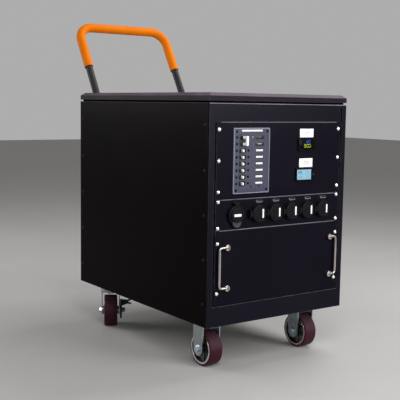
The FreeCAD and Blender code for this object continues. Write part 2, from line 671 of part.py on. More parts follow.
def pull_handle(side):
    """Bent wire bar, folded flat outwards, with a knuckle and pin at each end."""
    pivot_x = side * POST_X
    bar_x = side * (POST_X + PULL_REACH)
    top, bottom = level(POST_DROPS[0]), level(POST_DROPS[1])
    corner = 9.0
    start = at(pivot_x, PULL_PIVOT_D, top)
    turn_in = at(bar_x - side * corner, PULL_PIVOT_D, top)
    turn_out = at(bar_x, PULL_PIVOT_D, top - corner)
    centre = at(bar_x - side * corner, PULL_PIVOT_D, top - corner)
    middle = centre + V(side * corner * math.sin(math.pi / 4), 0, corner * math.sin(math.pi / 4))
    low_in = at(bar_x, PULL_PIVOT_D, bottom + corner)
    low_out = at(bar_x - side * corner, PULL_PIVOT_D, bottom)
    low_centre = at(bar_x - side * corner, PULL_PIVOT_D, bottom + corner)
    low_middle = low_centre + V(side * corner * math.sin(math.pi / 4), 0, -corner * math.sin(math.pi / 4))
    path = Part.Wire([
        Part.LineSegment(start, turn_in).toShape(),
        Part.Arc(turn_in, middle, turn_out).toShape(),
        Part.LineSegment(turn_out, low_in).toShape(),
        Part.Arc(low_in, low_middle, low_out).toShape(),
        Part.LineSegment(low_out, at(pivot_x, PULL_PIVOT_D, bottom)).toShape(),
    ])
    section = Part.Wire(Part.makeCircle(3.6, start, X_DIR))
    arms_radius_bar = path.makePipeShell([section], True, True)
    grip = pin_z(PULL_RADIUS, bar_x, PULL_PIVOT_D, (top + bottom) / 2, (top - bottom) / 2 - corner)
    pieces = [arms_radius_bar, grip]
    for z in (top, bottom):
        pieces.append(pin_z(4.4, pivot_x, PULL_PIVOT_D, z, PULL_KNUCKLE_LENGTH / 2))
        pieces.append(pin_z(PULL_PIN_RADIUS, pivot_x, PULL_PIVOT_D, z, 7.6))
    return joined(pieces)


# ---------------------------------------------------------------- push handle
def handle_side(side):
    """Corner points of one leg: foot, bend and top corner."""
    y_leg = CABINET_DEPTH + HANDLE_STANDOFF
    rise = HANDLE_TOP_Z - HANDLE_BEND_Z
    y_top = y_leg + rise * math.tan(math.radians(HANDLE_TILT))
    x = side * HANDLE_HALF_SPAN
    return at(x, y_leg, HANDLE_FOOT_Z), at(x, y_leg, HANDLE_BEND_Z), at(x, y_top, HANDLE_TOP_Z)


def tangent_arc(before, corner, after, radius):
    """Start, middle and end of the arc that rounds a corner between two straight runs."""
    back = (before - corner).normalize()
    ahead = (after - corner).normalize()
    half = back.getAngle(ahead) / 2
    reach = radius / math.tan(half)
    bisector = (back + ahead).normalize()
    middle = corner + bisector * (radius / math.sin(half) - radius)
    return corner + back * reach, middle, corner + ahead * reach


def handle_arcs():
    """The four tangent arcs of the handle, from the left foot to the right foot."""
    foot_l, bend_l, top_l = handle_side(-1)
    foot_r, bend_r, top_r = handle_side(1)
    return [
        tangent_arc(foot_l, bend_l, top_l, HANDLE_BEND_RADIUS),
        tangent_arc(bend_l, top_l, top_r, HANDLE_CORNER_RADIUS),
        tangent_arc(top_l, top_r, bend_r, HANDLE_CORNER_RADIUS),
        tangent_arc(top_r, bend_r, foot_r, HANDLE_BEND_RADIUS),
    ]


def pipe(points_and_arcs, start, end, radius):
    """Round bar along straight runs joined by the given arcs."""
    edges = []
    last = start
    for arc in points_and_arcs:
        edges.append(Part.LineSegment(last, arc[0]).toShape())
        edges.append(Part.Arc(*arc).toShape())
        last = arc[2]
    edges.append(Part.LineSegment(last, end).toShape())
    section = Part.Wire(Part.makeCircle(radius, start, edges[0].tangentAt(edges[0].FirstParameter)))
    return Part.Wire(edges).makePipeShell([section], True, True)


def push_handle_tube():
    wall = 2.0
    left, right = handle_side(-1)[0], handle_side(1)[0]
    arcs = handle_arcs()
    tube = pipe(arcs, left, right, TUBE_RADIUS)
    bore = pipe(arcs, left, right, TUBE_RADIUS - wall)
    return tube.cut(bore)


def push_handle_grip():
    """Foam sleeve over the top bar, both corners and the upper part of each leg."""
    arcs = handle_arcs()[1:3]
    on_leg = (arcs[0][0].z - GRIP_END_Z) / math.cos(math.radians(HANDLE_TILT))
    left = arcs[0][0] + (handle_side(-1)[1] - handle_side(-1)[2]).normalize() * on_leg
    right = arcs[1][2] + (handle_side(1)[1] - handle_side(1)[2]).normalize() * on_leg
    return pipe(arcs, left, right, GRIP_RADIUS).cut(pipe(arcs, left, right, GRIP_BORE))


def handle_clamps():
    """Four blocks bolted to the rear panel that hold the handle's legs."""
    clamps = []
    half_w, half_h = 27.0, 14.0
    for side in (-1, 1):
        for z in (HANDLE_FOOT_Z + 40, BODY_TOP - 40):
            x = side * HANDLE_HALF_SPAN
            d = CABINET_DEPTH + HANDLE_STANDOFF
            body = block(x - half_w, x + half_w, CABINET_DEPTH, d + 17, z - half_h, z + half_h)
            body = rounded(body, 5.0, lambda c: c.y > FRONT_Y + d + 16.9 and abs(c.x - x) > half_w - 0.1)
            clamps.append(cut(body, [pin_z(TUBE_RADIUS + RUNNING_GAP, x, d, z, half_h + 1)]))
    return clamps


# ---------------------------------------------------------------- casters
def caster_places():
    front, rear = FRONT_CASTER_INSET, CABINET_DEPTH - REAR_CASTER_INSET
    return [(-CASTER_X, front), (CASTER_X, front), (-CASTER_X, rear), (CASTER_X, rear)]


def bolt_places(x, d):
    return [(x + sx * CASTER_BOLTS[0] / 2, d + sy * CASTER_BOLTS[1] / 2) for sx in (-1, 1) for sy in (-1, 1)]


def caster_bolts():
    """Sixteen hex bolts that hold the caster plates to the base pan."""
    bolts = []
    for x, d in caster_places():
        for bx, bd in bolt_places(x, d):
            head = hexagon(6.5, bx, bd, PLATE_BOTTOM - 5, 5)
            shank = rod(CASTER_BOLT_RADIUS, 20, bx, bd, PLATE_BOTTOM, Z_DIR)
            nut = hexagon(6.5, bx, bd, CASTER_HEIGHT + SHEET, 6)
            bolts.append(joined([head, shank, nut]))
    return bolts


def hexagon(half_flats, x, d, z, height):
    """Upright hexagonal prism."""
    corner = half_flats / math.cos(math.pi / 6)
    ring = [V(corner * math.cos(math.radians(60 * k)), corner * math.sin(math.radians(60 * k)), 0)
            for k in range(6)]
    return prism(ring, at(x, d, z), V(0, 0, height))


def caster_plate(x, d):
    """Drilled top plate of a caster."""
    half_x, half_y = CASTER_PLATE[0] / 2, CASTER_PLATE[1] / 2
    plate = block(x - half_x, x + half_x, d - half_y, d + half_y, PLATE_BOTTOM, CASTER_HEIGHT)
    plate = rounded(plate, 8.0, lambda c: abs(c.z - (PLATE_BOTTOM + CASTER_HEIGHT) / 2) < 0.1)
    holes = [rod(CASTER_BOLT_RADIUS + 0.3, 8, bx, bd, PLATE_BOTTOM - 1, Z_DIR)
             for bx, bd in bolt_places(x, d)]
    return cut(plate, holes)


def fork_body(form, x, d, axle_d):
    """Crown and two cheeks that narrow from the crown to a round end about the axle."""
    crown_bottom, crown_half, end_radius = form
    crown_top = crown_bottom + CROWN_THICKNESS
    shoulder = crown_bottom - 26
    pieces = [block(x - FORK_OUTER, x + FORK_OUTER, d - crown_half, d + crown_half, crown_bottom, crown_top)]
    trail = axle_d - d
    outline = [V(0, -crown_half, crown_top), V(0, crown_half, crown_top), V(0, crown_half, shoulder),
               V(0, trail + end_radius, AXLE_Z), V(0, trail - end_radius, AXLE_Z),
               V(0, -crown_half, shoulder)]
    for x0 in (x - FORK_OUTER, x + FORK_HALF_GAP):
        pieces.append(prism(outline, at(x0, d, 0), V(FORK_THICKNESS, 0, 0)))
        pieces.append(rod(end_radius, FORK_THICKNESS, x0, axle_d, AXLE_Z, X_DIR))
    return pieces


def axle_bore(x, d):
    return rod(AXLE_RADIUS + RUNNING_GAP, 2 * FORK_OUTER + 2, x - FORK_OUTER - 1, d, AXLE_Z, X_DIR)


def front_caster_fork(side):
    """Fixed fork: top plate, round neck, crown and two cheeks in one piece."""
    x, d = side * CASTER_X, FRONT_CASTER_INSET
    crown_bottom = FRONT_FORK[0]
    neck = rod(30.0, PLATE_BOTTOM - crown_bottom, x, d, crown_bottom, Z_DIR)
    fork = joined([caster_plate(x, d), neck] + fork_body(FRONT_FORK, x, d, d))
    return cut(fork, [axle_bore(x, d)])


def axle_bolt(x, d):
    """Hex bolt with its nut, through the fork and the wheel."""
    hex_half = 9.0
    corner = hex_half / math.cos(math.pi / 6)
    ring = [V(0, corner * math.cos(math.radians(60 * k)), corner * math.sin(math.radians(60 * k)))
            for k in range(6)]
    shank = rod(AXLE_RADIUS, 2 * FORK_OUTER + 22, x - FORK_OUTER - 2, d, AXLE_Z, X_DIR)
    head = prism(ring, at(x - FORK_OUTER - 7, d, AXLE_Z), V(6.7, 0, 0))
    nut = prism(ring, at(x + FORK_OUTER + 8, d, AXLE_Z), V(8, 0, 0))
    return joined([shank, head, nut])


def axle_washer(x, d):
    """Spacer on the nut's side of a caster without a brake."""
    ring = rod(10.0, 7.4, x + FORK_OUTER + 0.3, d, AXLE_Z, X_DIR)
    return ring.cut(rod(AXLE_RADIUS + RUNNING_GAP, 10, x + FORK_OUTER, d, AXLE_Z, X_DIR))


def wheel_core(x, d):
    """Metal wheel centre: hub, dished web with six round holes, and rim."""
    half = TREAD_WIDTH / 2
    rim = rod(RIM_RADIUS, TREAD_WIDTH, x - half, d, AXLE_Z, X_DIR)
    dish_depth = 16.0
    dish = [rod(RIM_RADIUS - 5, dish_depth, x - half, d, AXLE_Z, X_DIR),
            rod(RIM_RADIUS - 5, dish_depth, x + half - dish_depth, d, AXLE_Z, X_DIR)]
    hub = rod(14.0, HUB_WIDTH, x - HUB_WIDTH / 2, d, AXLE_Z, X_DIR)
    holes = [rod(AXLE_RADIUS + RUNNING_GAP, HUB_WIDTH + 2, x - HUB_WIDTH / 2 - 1, d, AXLE_Z, X_DIR)]
    for k in range(6):
        angle = math.radians(60 * k)
        y_off, z_off = 27 * math.cos(angle), 27 * math.sin(angle)
        holes.append(rod(6.5, TREAD_WIDTH, x - half, d + y_off, AXLE_Z + z_off, X_DIR))
    return cut(joined([cut(rim, dish), hub]), holes)


def wheel_tread(x, d):
    """Cast tyre with soft shoulders, bonded round the rim."""
    half = TREAD_WIDTH / 2
    tyre = rod(WHEEL_RADIUS, TREAD_WIDTH, x - half, d, AXLE_Z, X_DIR)
    rim_edges = [e for e in tyre.Edges if abs(abs(e.CenterOfMass.x - x) - half) < 0.01]
    tyre = tyre.makeFillet(4.0, rim_edges)
    return tyre.cut(rod(RIM_RADIUS, TREAD_WIDTH + 2, x - half - 1, d, AXLE_Z, X_DIR))


def rear_caster_plate(x, d):
    """Top plate with its upper race and king pin."""
    race = rod(34.0, PLATE_BOTTOM - 132, x, d, 132, Z_DIR)
    king_pin = rod(8.0, 132 - 108, x, d, 108, Z_DIR)
    pin_head = rod(13.0, 5, x, d, 106.5, Z_DIR)
    return joined([caster_plate(x, d), race, king_pin, pin_head])


def swivel_fork(x, d):
    """Swivel fork with its lower race, before the caster's own turn is applied."""
    crown_bottom = SWIVEL_FORK[0]
    race = rod(35.0, 131.7 - crown_bottom, x, d, crown_bottom, Z_DIR)
    fork = joined([race] + fork_body(SWIVEL_FORK, x, d, d - TRAIL))
    king_pin_bore = rod(8.0 + RUNNING_GAP, 40, x, d, 100, Z_DIR)
    return cut(fork, [king_pin_bore, axle_bore(x, d - TRAIL)])


def brake_pedal(x, d):
    """Side brake: a ring on the axle, an arm up to a treadle with two curled toes, and a tail."""
    inner = x + FORK_OUTER + 0.5
    thickness = 6.5
    axle_d = d - TRAIL
    ring = rod(13.0, thickness, inner, axle_d, AXLE_Z, X_DIR)
    arm = prism([V(0, -10, 0), V(0, 10, 0), V(0, 2, 39), V(0, -20, 39)],
                at(inner, axle_d, AXLE_Z), V(thickness, 0, 0))
    tail = prism([V(0, -10, 0), V(0, 6, 0), V(0, 4, -30), V(0, -4, -30)],
                 at(inner, axle_d, AXLE_Z), V(thickness, 0, 0))
    toes = [(0, 14), (6.5, 18), (27, 25), (39, 22), (39.5, 25.5), (29, 29.5), (28, 32), (40, 39), (39, 42),
            (26, 37), (8, 39), (0, 39)]
    treadle = prism([V(px, -16, pz) for px, pz in toes], at(inner, axle_d, AXLE_Z), V(0, 14, 0))
    bore = rod(AXLE_RADIUS + RUNNING_GAP, thickness + 2, inner - 1, axle_d, AXLE_Z, X_DIR)
    return cut(joined([ring, arm, tail, treadle]), [bore])


def turned(shape, x, d, yaw):
    """Swing a part of a swivel caster about its king pin."""
    shape.rotate(at(x, d, 0), Z_DIR, -yaw)
    return shape


# ---------------------------------------------------------------- inside
def equipment_shelves():
    """Two battery runners and the inverter's shelf, hung from the side sheets."""
    runner_inner = 190.0
    thickness = 3.0
    runners = []
    for side in (-1, 1):
        wall = sorted((side * (INNER_HALF - SHEET), side * INNER_HALF))
        flat = sorted((side * runner_inner, side * INNER_HALF))
        runners.append(joined([
            block(*flat, 45, 700, BATTERY_FLOOR - thickness, BATTERY_FLOOR),
            block(*wall, 45, 700, BATTERY_FLOOR - thickness, BATTERY_FLOOR + 40)]))
    shelf = [block(-INNER_HALF, INNER_HALF, 200, 660, INVERTER_FLOOR - thickness, INVERTER_FLOOR)]
    for x in (-INNER_HALF, INNER_HALF - SHEET):
        shelf.append(block(x, x + SHEET, 200, 660, INVERTER_FLOOR - 30, INVERTER_FLOOR))
    return runners + [joined(shelf)]


def battery_pack():
    half = BATTERY_SIZE[0] / 2
    return block(-half, half, 24, 24 + BATTERY_SIZE[1], BATTERY_FLOOR, BATTERY_FLOOR + BATTERY_SIZE[2])


def inverter():
    """Sheet case with its transformer block standing inside."""
    half = INVERTER_SIZE[0] / 2
    front, back = 220, 220 + INVERTER_SIZE[1]
    top = INVERTER_FLOOR + INVERTER_SIZE[2]
    wall = 2.0
    case = block(-half, half, front, back, INVERTER_FLOOR, top)
    inside = block(wall - half, half - wall, front + wall, back - wall, INVERTER_FLOOR + wall, top - wall)
    core = block(-70, 70, 380, 500, INVERTER_FLOOR + wall, INVERTER_FLOOR + 110)
    return [case.cut(inside), core]


# ---------------------------------------------------------------- build
def build():
    os.makedirs("parts", exist_ok=True)
    save("base_pan", base_pan())
    save("left_side_panel", side_panel(-1))
    save("right_side_panel", side_panel(1))
    save("rear_panel", rear_panel())
    save("front_frame", front_frame())
    save("top_cover", top_cover())
    save("cover_seal", cover_seal())
    save("rack_rails", *rack_rails())
    save("rack_screws", *rack_screws())
    save("black_screws", *side_screws(), *breaker_screws())
    save("meter_panel", meter_panel())
    save("outlet_panel", outlet_panel())
    save("battery_panel", battery_panel())
    save("breaker_plate", breaker_plate())
    save("breaker_bodies", *breaker_bodies())
    save("main_toggle", main_toggle())
    for row in range(2, BREAKER_ROWS):
        save("branch_toggle_%d" % (row - 1), branch_toggle(row))
    save("ac_meter", ac_meter())
    save("battery_monitor", battery_monitor())
    save("monitor_button", monitor_button())
    save("inlet_body", inlet_housing())
    save("inlet_cap", inlet_cap())
    save("outlet_bodies", *[outlet_housing(x) for x in outlet_places()])
    for number, x in enumerate(outlet_places(), 1):
        save("outlet_cap_%d" % number, outlet_cap(x))
    save("pull_handle_posts", *pull_handle_posts())
    save("left_pull_handle", pull_handle(-1))
    save("right_pull_handle", pull_handle(1))
    save("push_handle_tube", push_handle_tube())
    save("push_handle_grip", push_handle_grip())
    save("handle_clamps", *handle_clamps())
    save("equipment_shelves", *equipment_shelves())
    save("battery_pack", battery_pack())
    save("inverter", *inverter())
    save("caster_bolts", *caster_bolts())

    front, rear = FRONT_CASTER_INSET, CABINET_DEPTH - REAR_CASTER_INSET
    save("front_caster_forks", front_caster_fork(-1), front_caster_fork(1))
    save("front_axle_bolts", *[piece for side in (-1, 1) for piece in
                               (axle_bolt(side * CASTER_X, front), axle_washer(side * CASTER_X, front))])
    save("rear_caster_plates", rear_caster_plate(-CASTER_X, rear), rear_caster_plate(CASTER_X, rear))
    for name, side, yaw in (("left", -1, LEFT_SWIVEL_YAW), ("right", 1, RIGHT_SWIVEL_YAW)):
        x = side * CASTER_X
        save(name + "_front_wheel_core", wheel_core(x, front))
        save(name + "_front_tread", wheel_tread(x, front))
        save(name + "_swivel_fork", turned(swivel_fork(x, rear), x, rear, yaw))
        save(name + "_rear_axle", turned(axle_bolt(x, rear - TRAIL), x, rear, yaw))
        save(name + "_brake_pedal", turned(brake_pedal(x, rear), x, rear, yaw))
        save(name + "_rear_wheel_core", turned(wheel_core(x, rear - TRAIL), x, rear, yaw))
        save(name + "_rear_tread", turned(wheel_tread(x, rear - TRAIL), x, rear, yaw))


build()
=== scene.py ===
import json
import logging
import math
from dataclasses import dataclass, field, replace
from enum import Enum

import bmesh
import bpy
import numpy as np
from mathutils import Matrix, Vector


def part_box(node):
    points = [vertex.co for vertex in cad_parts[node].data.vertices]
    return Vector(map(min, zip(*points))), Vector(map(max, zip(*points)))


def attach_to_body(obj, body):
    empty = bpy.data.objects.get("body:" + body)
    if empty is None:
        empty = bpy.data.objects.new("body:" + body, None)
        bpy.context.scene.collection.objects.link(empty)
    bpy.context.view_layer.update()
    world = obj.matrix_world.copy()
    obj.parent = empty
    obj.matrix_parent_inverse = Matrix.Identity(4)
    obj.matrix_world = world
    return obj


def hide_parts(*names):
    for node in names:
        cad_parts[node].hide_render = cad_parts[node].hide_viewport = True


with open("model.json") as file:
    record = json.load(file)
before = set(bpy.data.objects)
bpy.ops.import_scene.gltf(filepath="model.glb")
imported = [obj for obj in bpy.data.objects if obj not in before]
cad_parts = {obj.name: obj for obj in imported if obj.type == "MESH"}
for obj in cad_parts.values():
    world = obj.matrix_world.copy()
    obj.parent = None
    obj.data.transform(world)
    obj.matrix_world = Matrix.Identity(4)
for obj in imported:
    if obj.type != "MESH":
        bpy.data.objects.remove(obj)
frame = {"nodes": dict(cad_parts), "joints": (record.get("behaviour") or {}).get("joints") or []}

# Dresses the portable power distribution box. World axes are the frame's: +X to the right as seen from
# the rack front, +Y towards the push handle, +Z up. Sizes are in millimetres, and MM turns them into the
# metres that Blender's meshes and modifiers take. Only the Studio's lengths are in metres.
MM = 0.001
FULL_TURN = 2 * math.pi
QUARTER_TURN = math.pi / 2
FRONTWARD = (0, -1, 0)
BACKWARD = (0, 1, 0)
UPWARD = (0, 0, 1)
LOG = logging.getLogger("power_box")
Place = tuple[float, float]
Triple = tuple[float, float, float]
Colour = Triple


class Side(Enum):
    """Side of the cabinet, as seen from the rack front."""
    LEFT = -1
    RIGHT = 1

    @property
    def word(self) -> str:
        """The side's word in node and body names."""
        return self.name.lower()


# ---------------------------------------------------------------- places in the frame
@dataclass(frozen=True)
class Extent:
    """Rest box of a frame node, in millimetres."""
    lo: np.ndarray
    hi: np.ndarray

    @classmethod
    def of(cls, node: str) -> "Extent":
        """Box of the named node."""
        lo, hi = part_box(node)
        return cls(np.array(lo) / MM, np.array(hi) / MM)

    @property
    def centre(self) -> np.ndarray:
        """Middle of the box."""
        return (self.lo + self.hi) / 2

    @property
    def size(self) -> np.ndarray:
        """Widths of the box along x, y and z."""
        return self.hi - self.lo


@dataclass(frozen=True)
class Axes:
    """Local axes: seen against w, u runs to the right and v runs up; w comes towards the viewer."""
    origin: np.ndarray
    u: np.ndarray
    v: np.ndarray
    w: np.ndarray

    @classmethod
    def facing(cls, origin: np.ndarray | tuple, outward: np.ndarray | tuple, up: tuple = UPWARD) -> "Axes":
        """Axes at a point, from the direction that w takes and the one that v takes."""
        w, v = np.array(outward, float), np.array(up, float)
        return cls(np.array(origin, float), np.cross(v, w), v, w)

    @classmethod
    def upright(cls, origin: np.ndarray | tuple) -> "Axes":
        """Axes at a point with w straight up."""
        return cls.facing(origin, UPWARD, BACKWARD)

    def world(self, points: np.ndarray) -> np.ndarray:
        """Frame coordinates of local points: origin plus u, v and w times their local numbers."""
        return self.origin + np.asarray(points, float) @ np.stack([self.u, self.v, self.w])

    def shifted(self, u: float = 0.0, v: float = 0.0, w: float = 0.0) -> "Axes":
        """The same directions at an origin moved along them."""
        return replace(self, origin=self.world(np.array([u, v, w])))

    def leaned(self, degrees: float) -> "Axes":
        """Axes turned about v; a positive angle leans w towards u."""
        c, s = math.cos(math.radians(degrees)), math.sin(math.radians(degrees))
        return replace(self, u=c * self.u - s * self.w, w=c * self.w + s * self.u)

    def rolled(self, degrees: float) -> "Axes":
        """Axes turned about w; a positive angle rolls u towards v."""
        c, s = math.cos(math.radians(degrees)), math.sin(math.radians(degrees))
        return replace(self, u=c * self.u + s * self.v, v=c * self.v - s * self.u)


def joint_of(body: str) -> dict:
    """The frame's joint that carries a body."""
    return next(joint for joint in frame["joints"] if joint["child"] == body)


def pivot_of(body: str) -> np.ndarray:
    """Point on the joint line of a body, in millimetres."""
    return np.array(joint_of(body)["pos_m"]) / MM


# ---------------------------------------------------------------- surfaces
@dataclass(frozen=True)
class Form:
    """Surface as points and blocks of faces; the rows of a block are faces with equal corner counts."""
    points: np.ndarray
    blocks: tuple[np.ndarray, ...]

    def __add__(self, other: "Form") -> "Form":
        """Both surfaces in one form."""
        moved = tuple(block + len(self.points) for block in other.blocks)
        return Form(np.vstack([self.points, other.points]), self.blocks + moved)

    def placed(self, axes: Axes) -> "Form":
        """The form in frame coordinates."""
        return Form(axes.world(self.points), self.blocks)

    def moved(self, u: float = 0.0, v: float = 0.0, w: float = 0.0) -> "Form":
        """The form shifted in its own axes."""
        return Form(self.points + np.array([u, v, w]), self.blocks)

    def repeated(self, places: list[Triple]) -> "Form":
        """Copies of the form: every point is added to every place.

        Args:
            places: How far each copy is shifted.

        Returns:
            All copies in one form.
        """
        shifts = np.asarray(places, float)
        points = (shifts[:, None, :] + self.points[None, :, :]).reshape(-1, 3)
        starts = len(self.points) * np.arange(len(places))
        blocks = tuple((starts[:, None, None] + block[None]).reshape(-1, block.shape[1])
                       for block in self.blocks)
        return Form(points, blocks)


def together(forms: list[Form]) -> Form:
    """All forms in one."""
    return sum(forms[1:], forms[0])


def copies(form: Form, places: list[Axes]) -> Form:
    """One copy of a form on each of the axes."""
    return together([form.placed(axes) for axes in places])


def ring_stack(loops: np.ndarray, closed: bool = False) -> Form:
    """Surface through equal loops of points.

    Each loop is joined to the next by quads: corner (i, j) goes to (i, j+1), (i+1, j+1) and (i+1, j), with
    j wrapping round. The two end loops get one face each, unless the last loop joins the first again.

    Args:
        loops: Array of shape (levels, corners, 3).
        closed: Whether the last loop is joined to the first.

    Returns:
        The closed form.
    """
    levels, corners, _ = loops.shape
    index = np.arange(levels * corners).reshape(levels, corners)
    after = np.roll(index, -1, axis=0) if closed else index[1:]
    before = index if closed else index[:-1]
    quads = np.stack([before, np.roll(before, -1, axis=1), np.roll(after, -1, axis=1), after], axis=-1)
    blocks: tuple[np.ndarray, ...] = (quads.reshape(-1, 4),)
    if not closed:
        blocks += (index[:1, ::-1].copy(), index[-1:].copy())
    return Form(loops.reshape(-1, 3), blocks)


def rounded_loop(width: float, height: float, radius: float, steps: int = 5) -> np.ndarray:
    """Rectangle with quarter-circle corners.

    At angle a the point is the corner centre of a's quadrant plus radius times (cos a, sin a).

    Args:
        width: Size along u.
        height: Size along v.
        radius: Corner radius, held to half of the smaller size.
        steps: Steps along each corner.

    Returns:
        Loop of (u, v) points.
    """
    turns = np.linspace(0, QUARTER_TURN, steps + 1)
    angles = (turns[None, :] + np.arange(4)[:, None] * QUARTER_TURN).ravel()
    middle = np.repeat(np.arange(4) * QUARTER_TURN + QUARTER_TURN / 2, steps + 1)
    radius = min(radius, width / 2, height / 2)
    u = np.sign(np.cos(middle)) * (width / 2 - radius) + radius * np.cos(angles)
    v = np.sign(np.sin(middle)) * (height / 2 - radius) + radius * np.sin(angles)
    return np.stack([u, v], axis=-1)


def drawn_in(width: float, height: float, radius: float, levels: list[Place],
             steps: int = 5) -> np.ndarray:
    """Loops of one rounded outline, each drawn in by its level's inset and put at that level's w.

    Args:
        width: Size of the outline along u.
        height: Size of the outline along v.
        radius: Its corner radius, which shrinks with the inset.
        levels: The (inset, w) of each loop.
        steps: Steps along each corner.

    Returns:
        Array of shape (levels, corners, 3).
    """
    loops = []
    for inset, w in levels:
        loop = rounded_loop(width - 2 * inset, height - 2 * inset, max(radius - inset, 0.2), steps)
        loops.append(np.column_stack([loop, np.full(len(loop), w)]))
    return np.array(loops)


def slab(width: float, height: float, radius: float, levels: list[Place], steps: int = 5) -> Form:
    """Rounded plate built up in levels of (inset, w)."""
    return ring_stack(drawn_in(width, height, radius, levels, steps))


def soft_slab(width: float, height: float, radius: float, low: float, high: float,
              ease: float = 0.3) -> Form:
    """Rounded plate from w = low to w = high whose front edge is eased by a small bevel and crown."""
    crown = (0.3 * ease, high - 0.3 * ease)
    return slab(width, height, radius, [(0, low), (0, high - ease), crown, (ease, high)])


def border(width: float, height: float, radius: float, section: list[Place]) -> Form:
    """Closed rectangular frame: section holds (inset, w) corners, carried round the rounded outline."""
    return ring_stack(drawn_in(width, height, radius, section), closed=True)


def polygon_factor(angles: np.ndarray, sides: int) -> np.ndarray:
    """Radius of a regular polygon over its corner radius.

    In a sector of angle s it is cos(s / 2) / cos(a - s / 2), with a counted from the sector's start.

    Args:
        angles: Angles in radians.
        sides: Number of sides, or 0 for a circle.

    Returns:
        The factor at each angle, which is 1 everywhere for a circle.
    """
    if sides == 0:
        return np.ones_like(angles)
    sector = FULL_TURN / sides
    return math.cos(sector / 2) / np.cos(np.mod(angles, sector) - sector / 2)


def lathe(profile: list[tuple], segments: int = 40, closed: bool = False) -> Form:
    """Surface of revolution about w.

    The point at angle a is radius * factor(a) * (cos a, sin a) at height w.

    Args:
        profile: Entries of (radius, w) or (radius, w, sides); with sides the ring is a regular polygon of
            that corner radius.
        segments: Points round each ring.
        closed: Whether the last ring is joined to the first.

    Returns:
        The closed form.
    """
    angles = np.arange(segments) * FULL_TURN / segments
    loops = []
    for entry in profile:
        radius, w = entry[0], entry[1]
        reach = radius * polygon_factor(angles, entry[2] if len(entry) > 2 else 0)
        ring = [reach * np.cos(angles), reach * np.sin(angles), np.full(segments, w)]
        loops.append(np.stack(ring, axis=-1))
    return ring_stack(np.array(loops), closed)


def arc(centre: Place, radius: float, start: float, end: float, steps: int = 6) -> list[Place]:
    """Profile points on an arc from start to end degrees."""
    angles = np.radians(np.linspace(start, end, steps + 1))
    return [(centre[0] + radius * math.cos(a), centre[1] + radius * math.sin(a)) for a in angles]


def sweep(path: np.ndarray, normals: np.ndarray, radii: np.ndarray, sides: int = 28) -> Form:
    """Round bar along a path.

    At path point p with tangent t and unit normal n, the ring is p + r (n cos a + (t x n) sin a).

    Args:
        path: Points, shape (count, 3).
        normals: A unit vector square to the path at each point.
        radii: Bar radius at each point.
        sides: Points round the bar.

    Returns:
        The bar with closed ends.
    """
    tangents = np.gradient(path, axis=0)
    tangents /= np.linalg.norm(tangents, axis=1, keepdims=True)
    seconds = np.cross(tangents, normals)
    angles = np.arange(sides) * FULL_TURN / sides
    ring = (normals[:, None, :] * np.cos(angles)[None, :, None]
            + seconds[:, None, :] * np.sin(angles)[None, :, None])
    return ring_stack(path[:, None, :] + radii[:, None, None] * ring)


def rounded_path(corners: list[np.ndarray], radii: list[float], spacing: float = 4.0) -> np.ndarray:
    """Points along straight runs whose inner corners are rounded by tangent arcs.

    An arc of radius r at a corner with half-angle h starts r / tan(h) before it, and is walked by turning
    from one run's direction to the next at an even rate.

    Args:
        corners: Corner points, the first and last being the ends.
        radii: Radius at each inner corner.
        spacing: Distance between points.

    Returns:
        Points of shape (count, 3).
    """
    pieces = []
    last = corners[0]
    for before, corner, after, radius in zip(corners, corners[1:], corners[2:], radii):
        back = (before - corner) / np.linalg.norm(before - corner)
        ahead = (after - corner) / np.linalg.norm(after - corner)
        half = math.acos(float(back @ ahead)) / 2
        bisector = (back + ahead) / np.linalg.norm(back + ahead)
        centre = corner + bisector * radius / math.sin(half)
        start, end = corner + back * radius / math.tan(half), corner + ahead * radius / math.tan(half)
        pieces.append(run_between(last, start, spacing))
        turn = math.pi - 2 * half
        share = np.linspace(0, 1, max(4, round(radius * turn / spacing)), endpoint=False)[:, None]
        spokes = (start - centre) * np.sin((1 - share) * turn) + (end - centre) * np.sin(share * turn)
        pieces.append(centre + spokes / math.sin(turn))
        last = end
    pieces.append(run_between(last, corners[-1], spacing))
    pieces.append(corners[-1][None, :])
    return np.vstack(pieces)


def run_between(start: np.ndarray, end: np.ndarray, spacing: float) -> np.ndarray:
    """Even points from start up to, but not with, end."""
    count = max(2, round(float(np.linalg.norm(end - start)) / (6 * spacing)))
    return start + (end - start) * np.linspace(0, 1, count, endpoint=False)[:, None]


def windowed_sheet(width: float, height: float, windows: list[tuple], w: float) -> Form:
    """Flat sheet with rectangular windows.

    The windows' edges cut the sheet into a lattice of cells; a cell is kept if its middle is in no window.

    Args:
        width: Size along u.
        height: Size along v.
        windows: Centre u, centre v, width and height of each window.
        w: Where the sheet lies.

    Returns:
        The open sheet.
    """
    holes = np.array(windows, float)
    low, high = holes[:, :2] - holes[:, 2:] / 2, holes[:, :2] + holes[:, 2:] / 2
    us = np.unique(np.round(np.concatenate([[-width / 2, width / 2], low[:, 0], high[:, 0]]), 4))
    vs = np.unique(np.round(np.concatenate([[-height / 2, height / 2], low[:, 1], high[:, 1]]), 4))
    grid_u, grid_v = np.meshgrid(us, vs)
    index = np.arange(grid_u.size).reshape(grid_u.shape)
    middle_u, middle_v = np.meshgrid((us[1:] + us[:-1]) / 2, (vs[1:] + vs[:-1]) / 2)
    inside = ((middle_u[..., None] > low[:, 0]) & (middle_u[..., None] < high[:, 0])
              & (middle_v[..., None] > low[:, 1]) & (middle_v[..., None] < high[:, 1])).any(axis=-1)
    cells = np.stack([index[:-1, :-1], index[:-1, 1:], index[1:, 1:], index[1:, :-1]], axis=-1)[~inside]
    points = np.stack([grid_u.ravel(), grid_v.ravel(), np.full(grid_u.size, w)], axis=-1)
    return Form(points, (cells,))


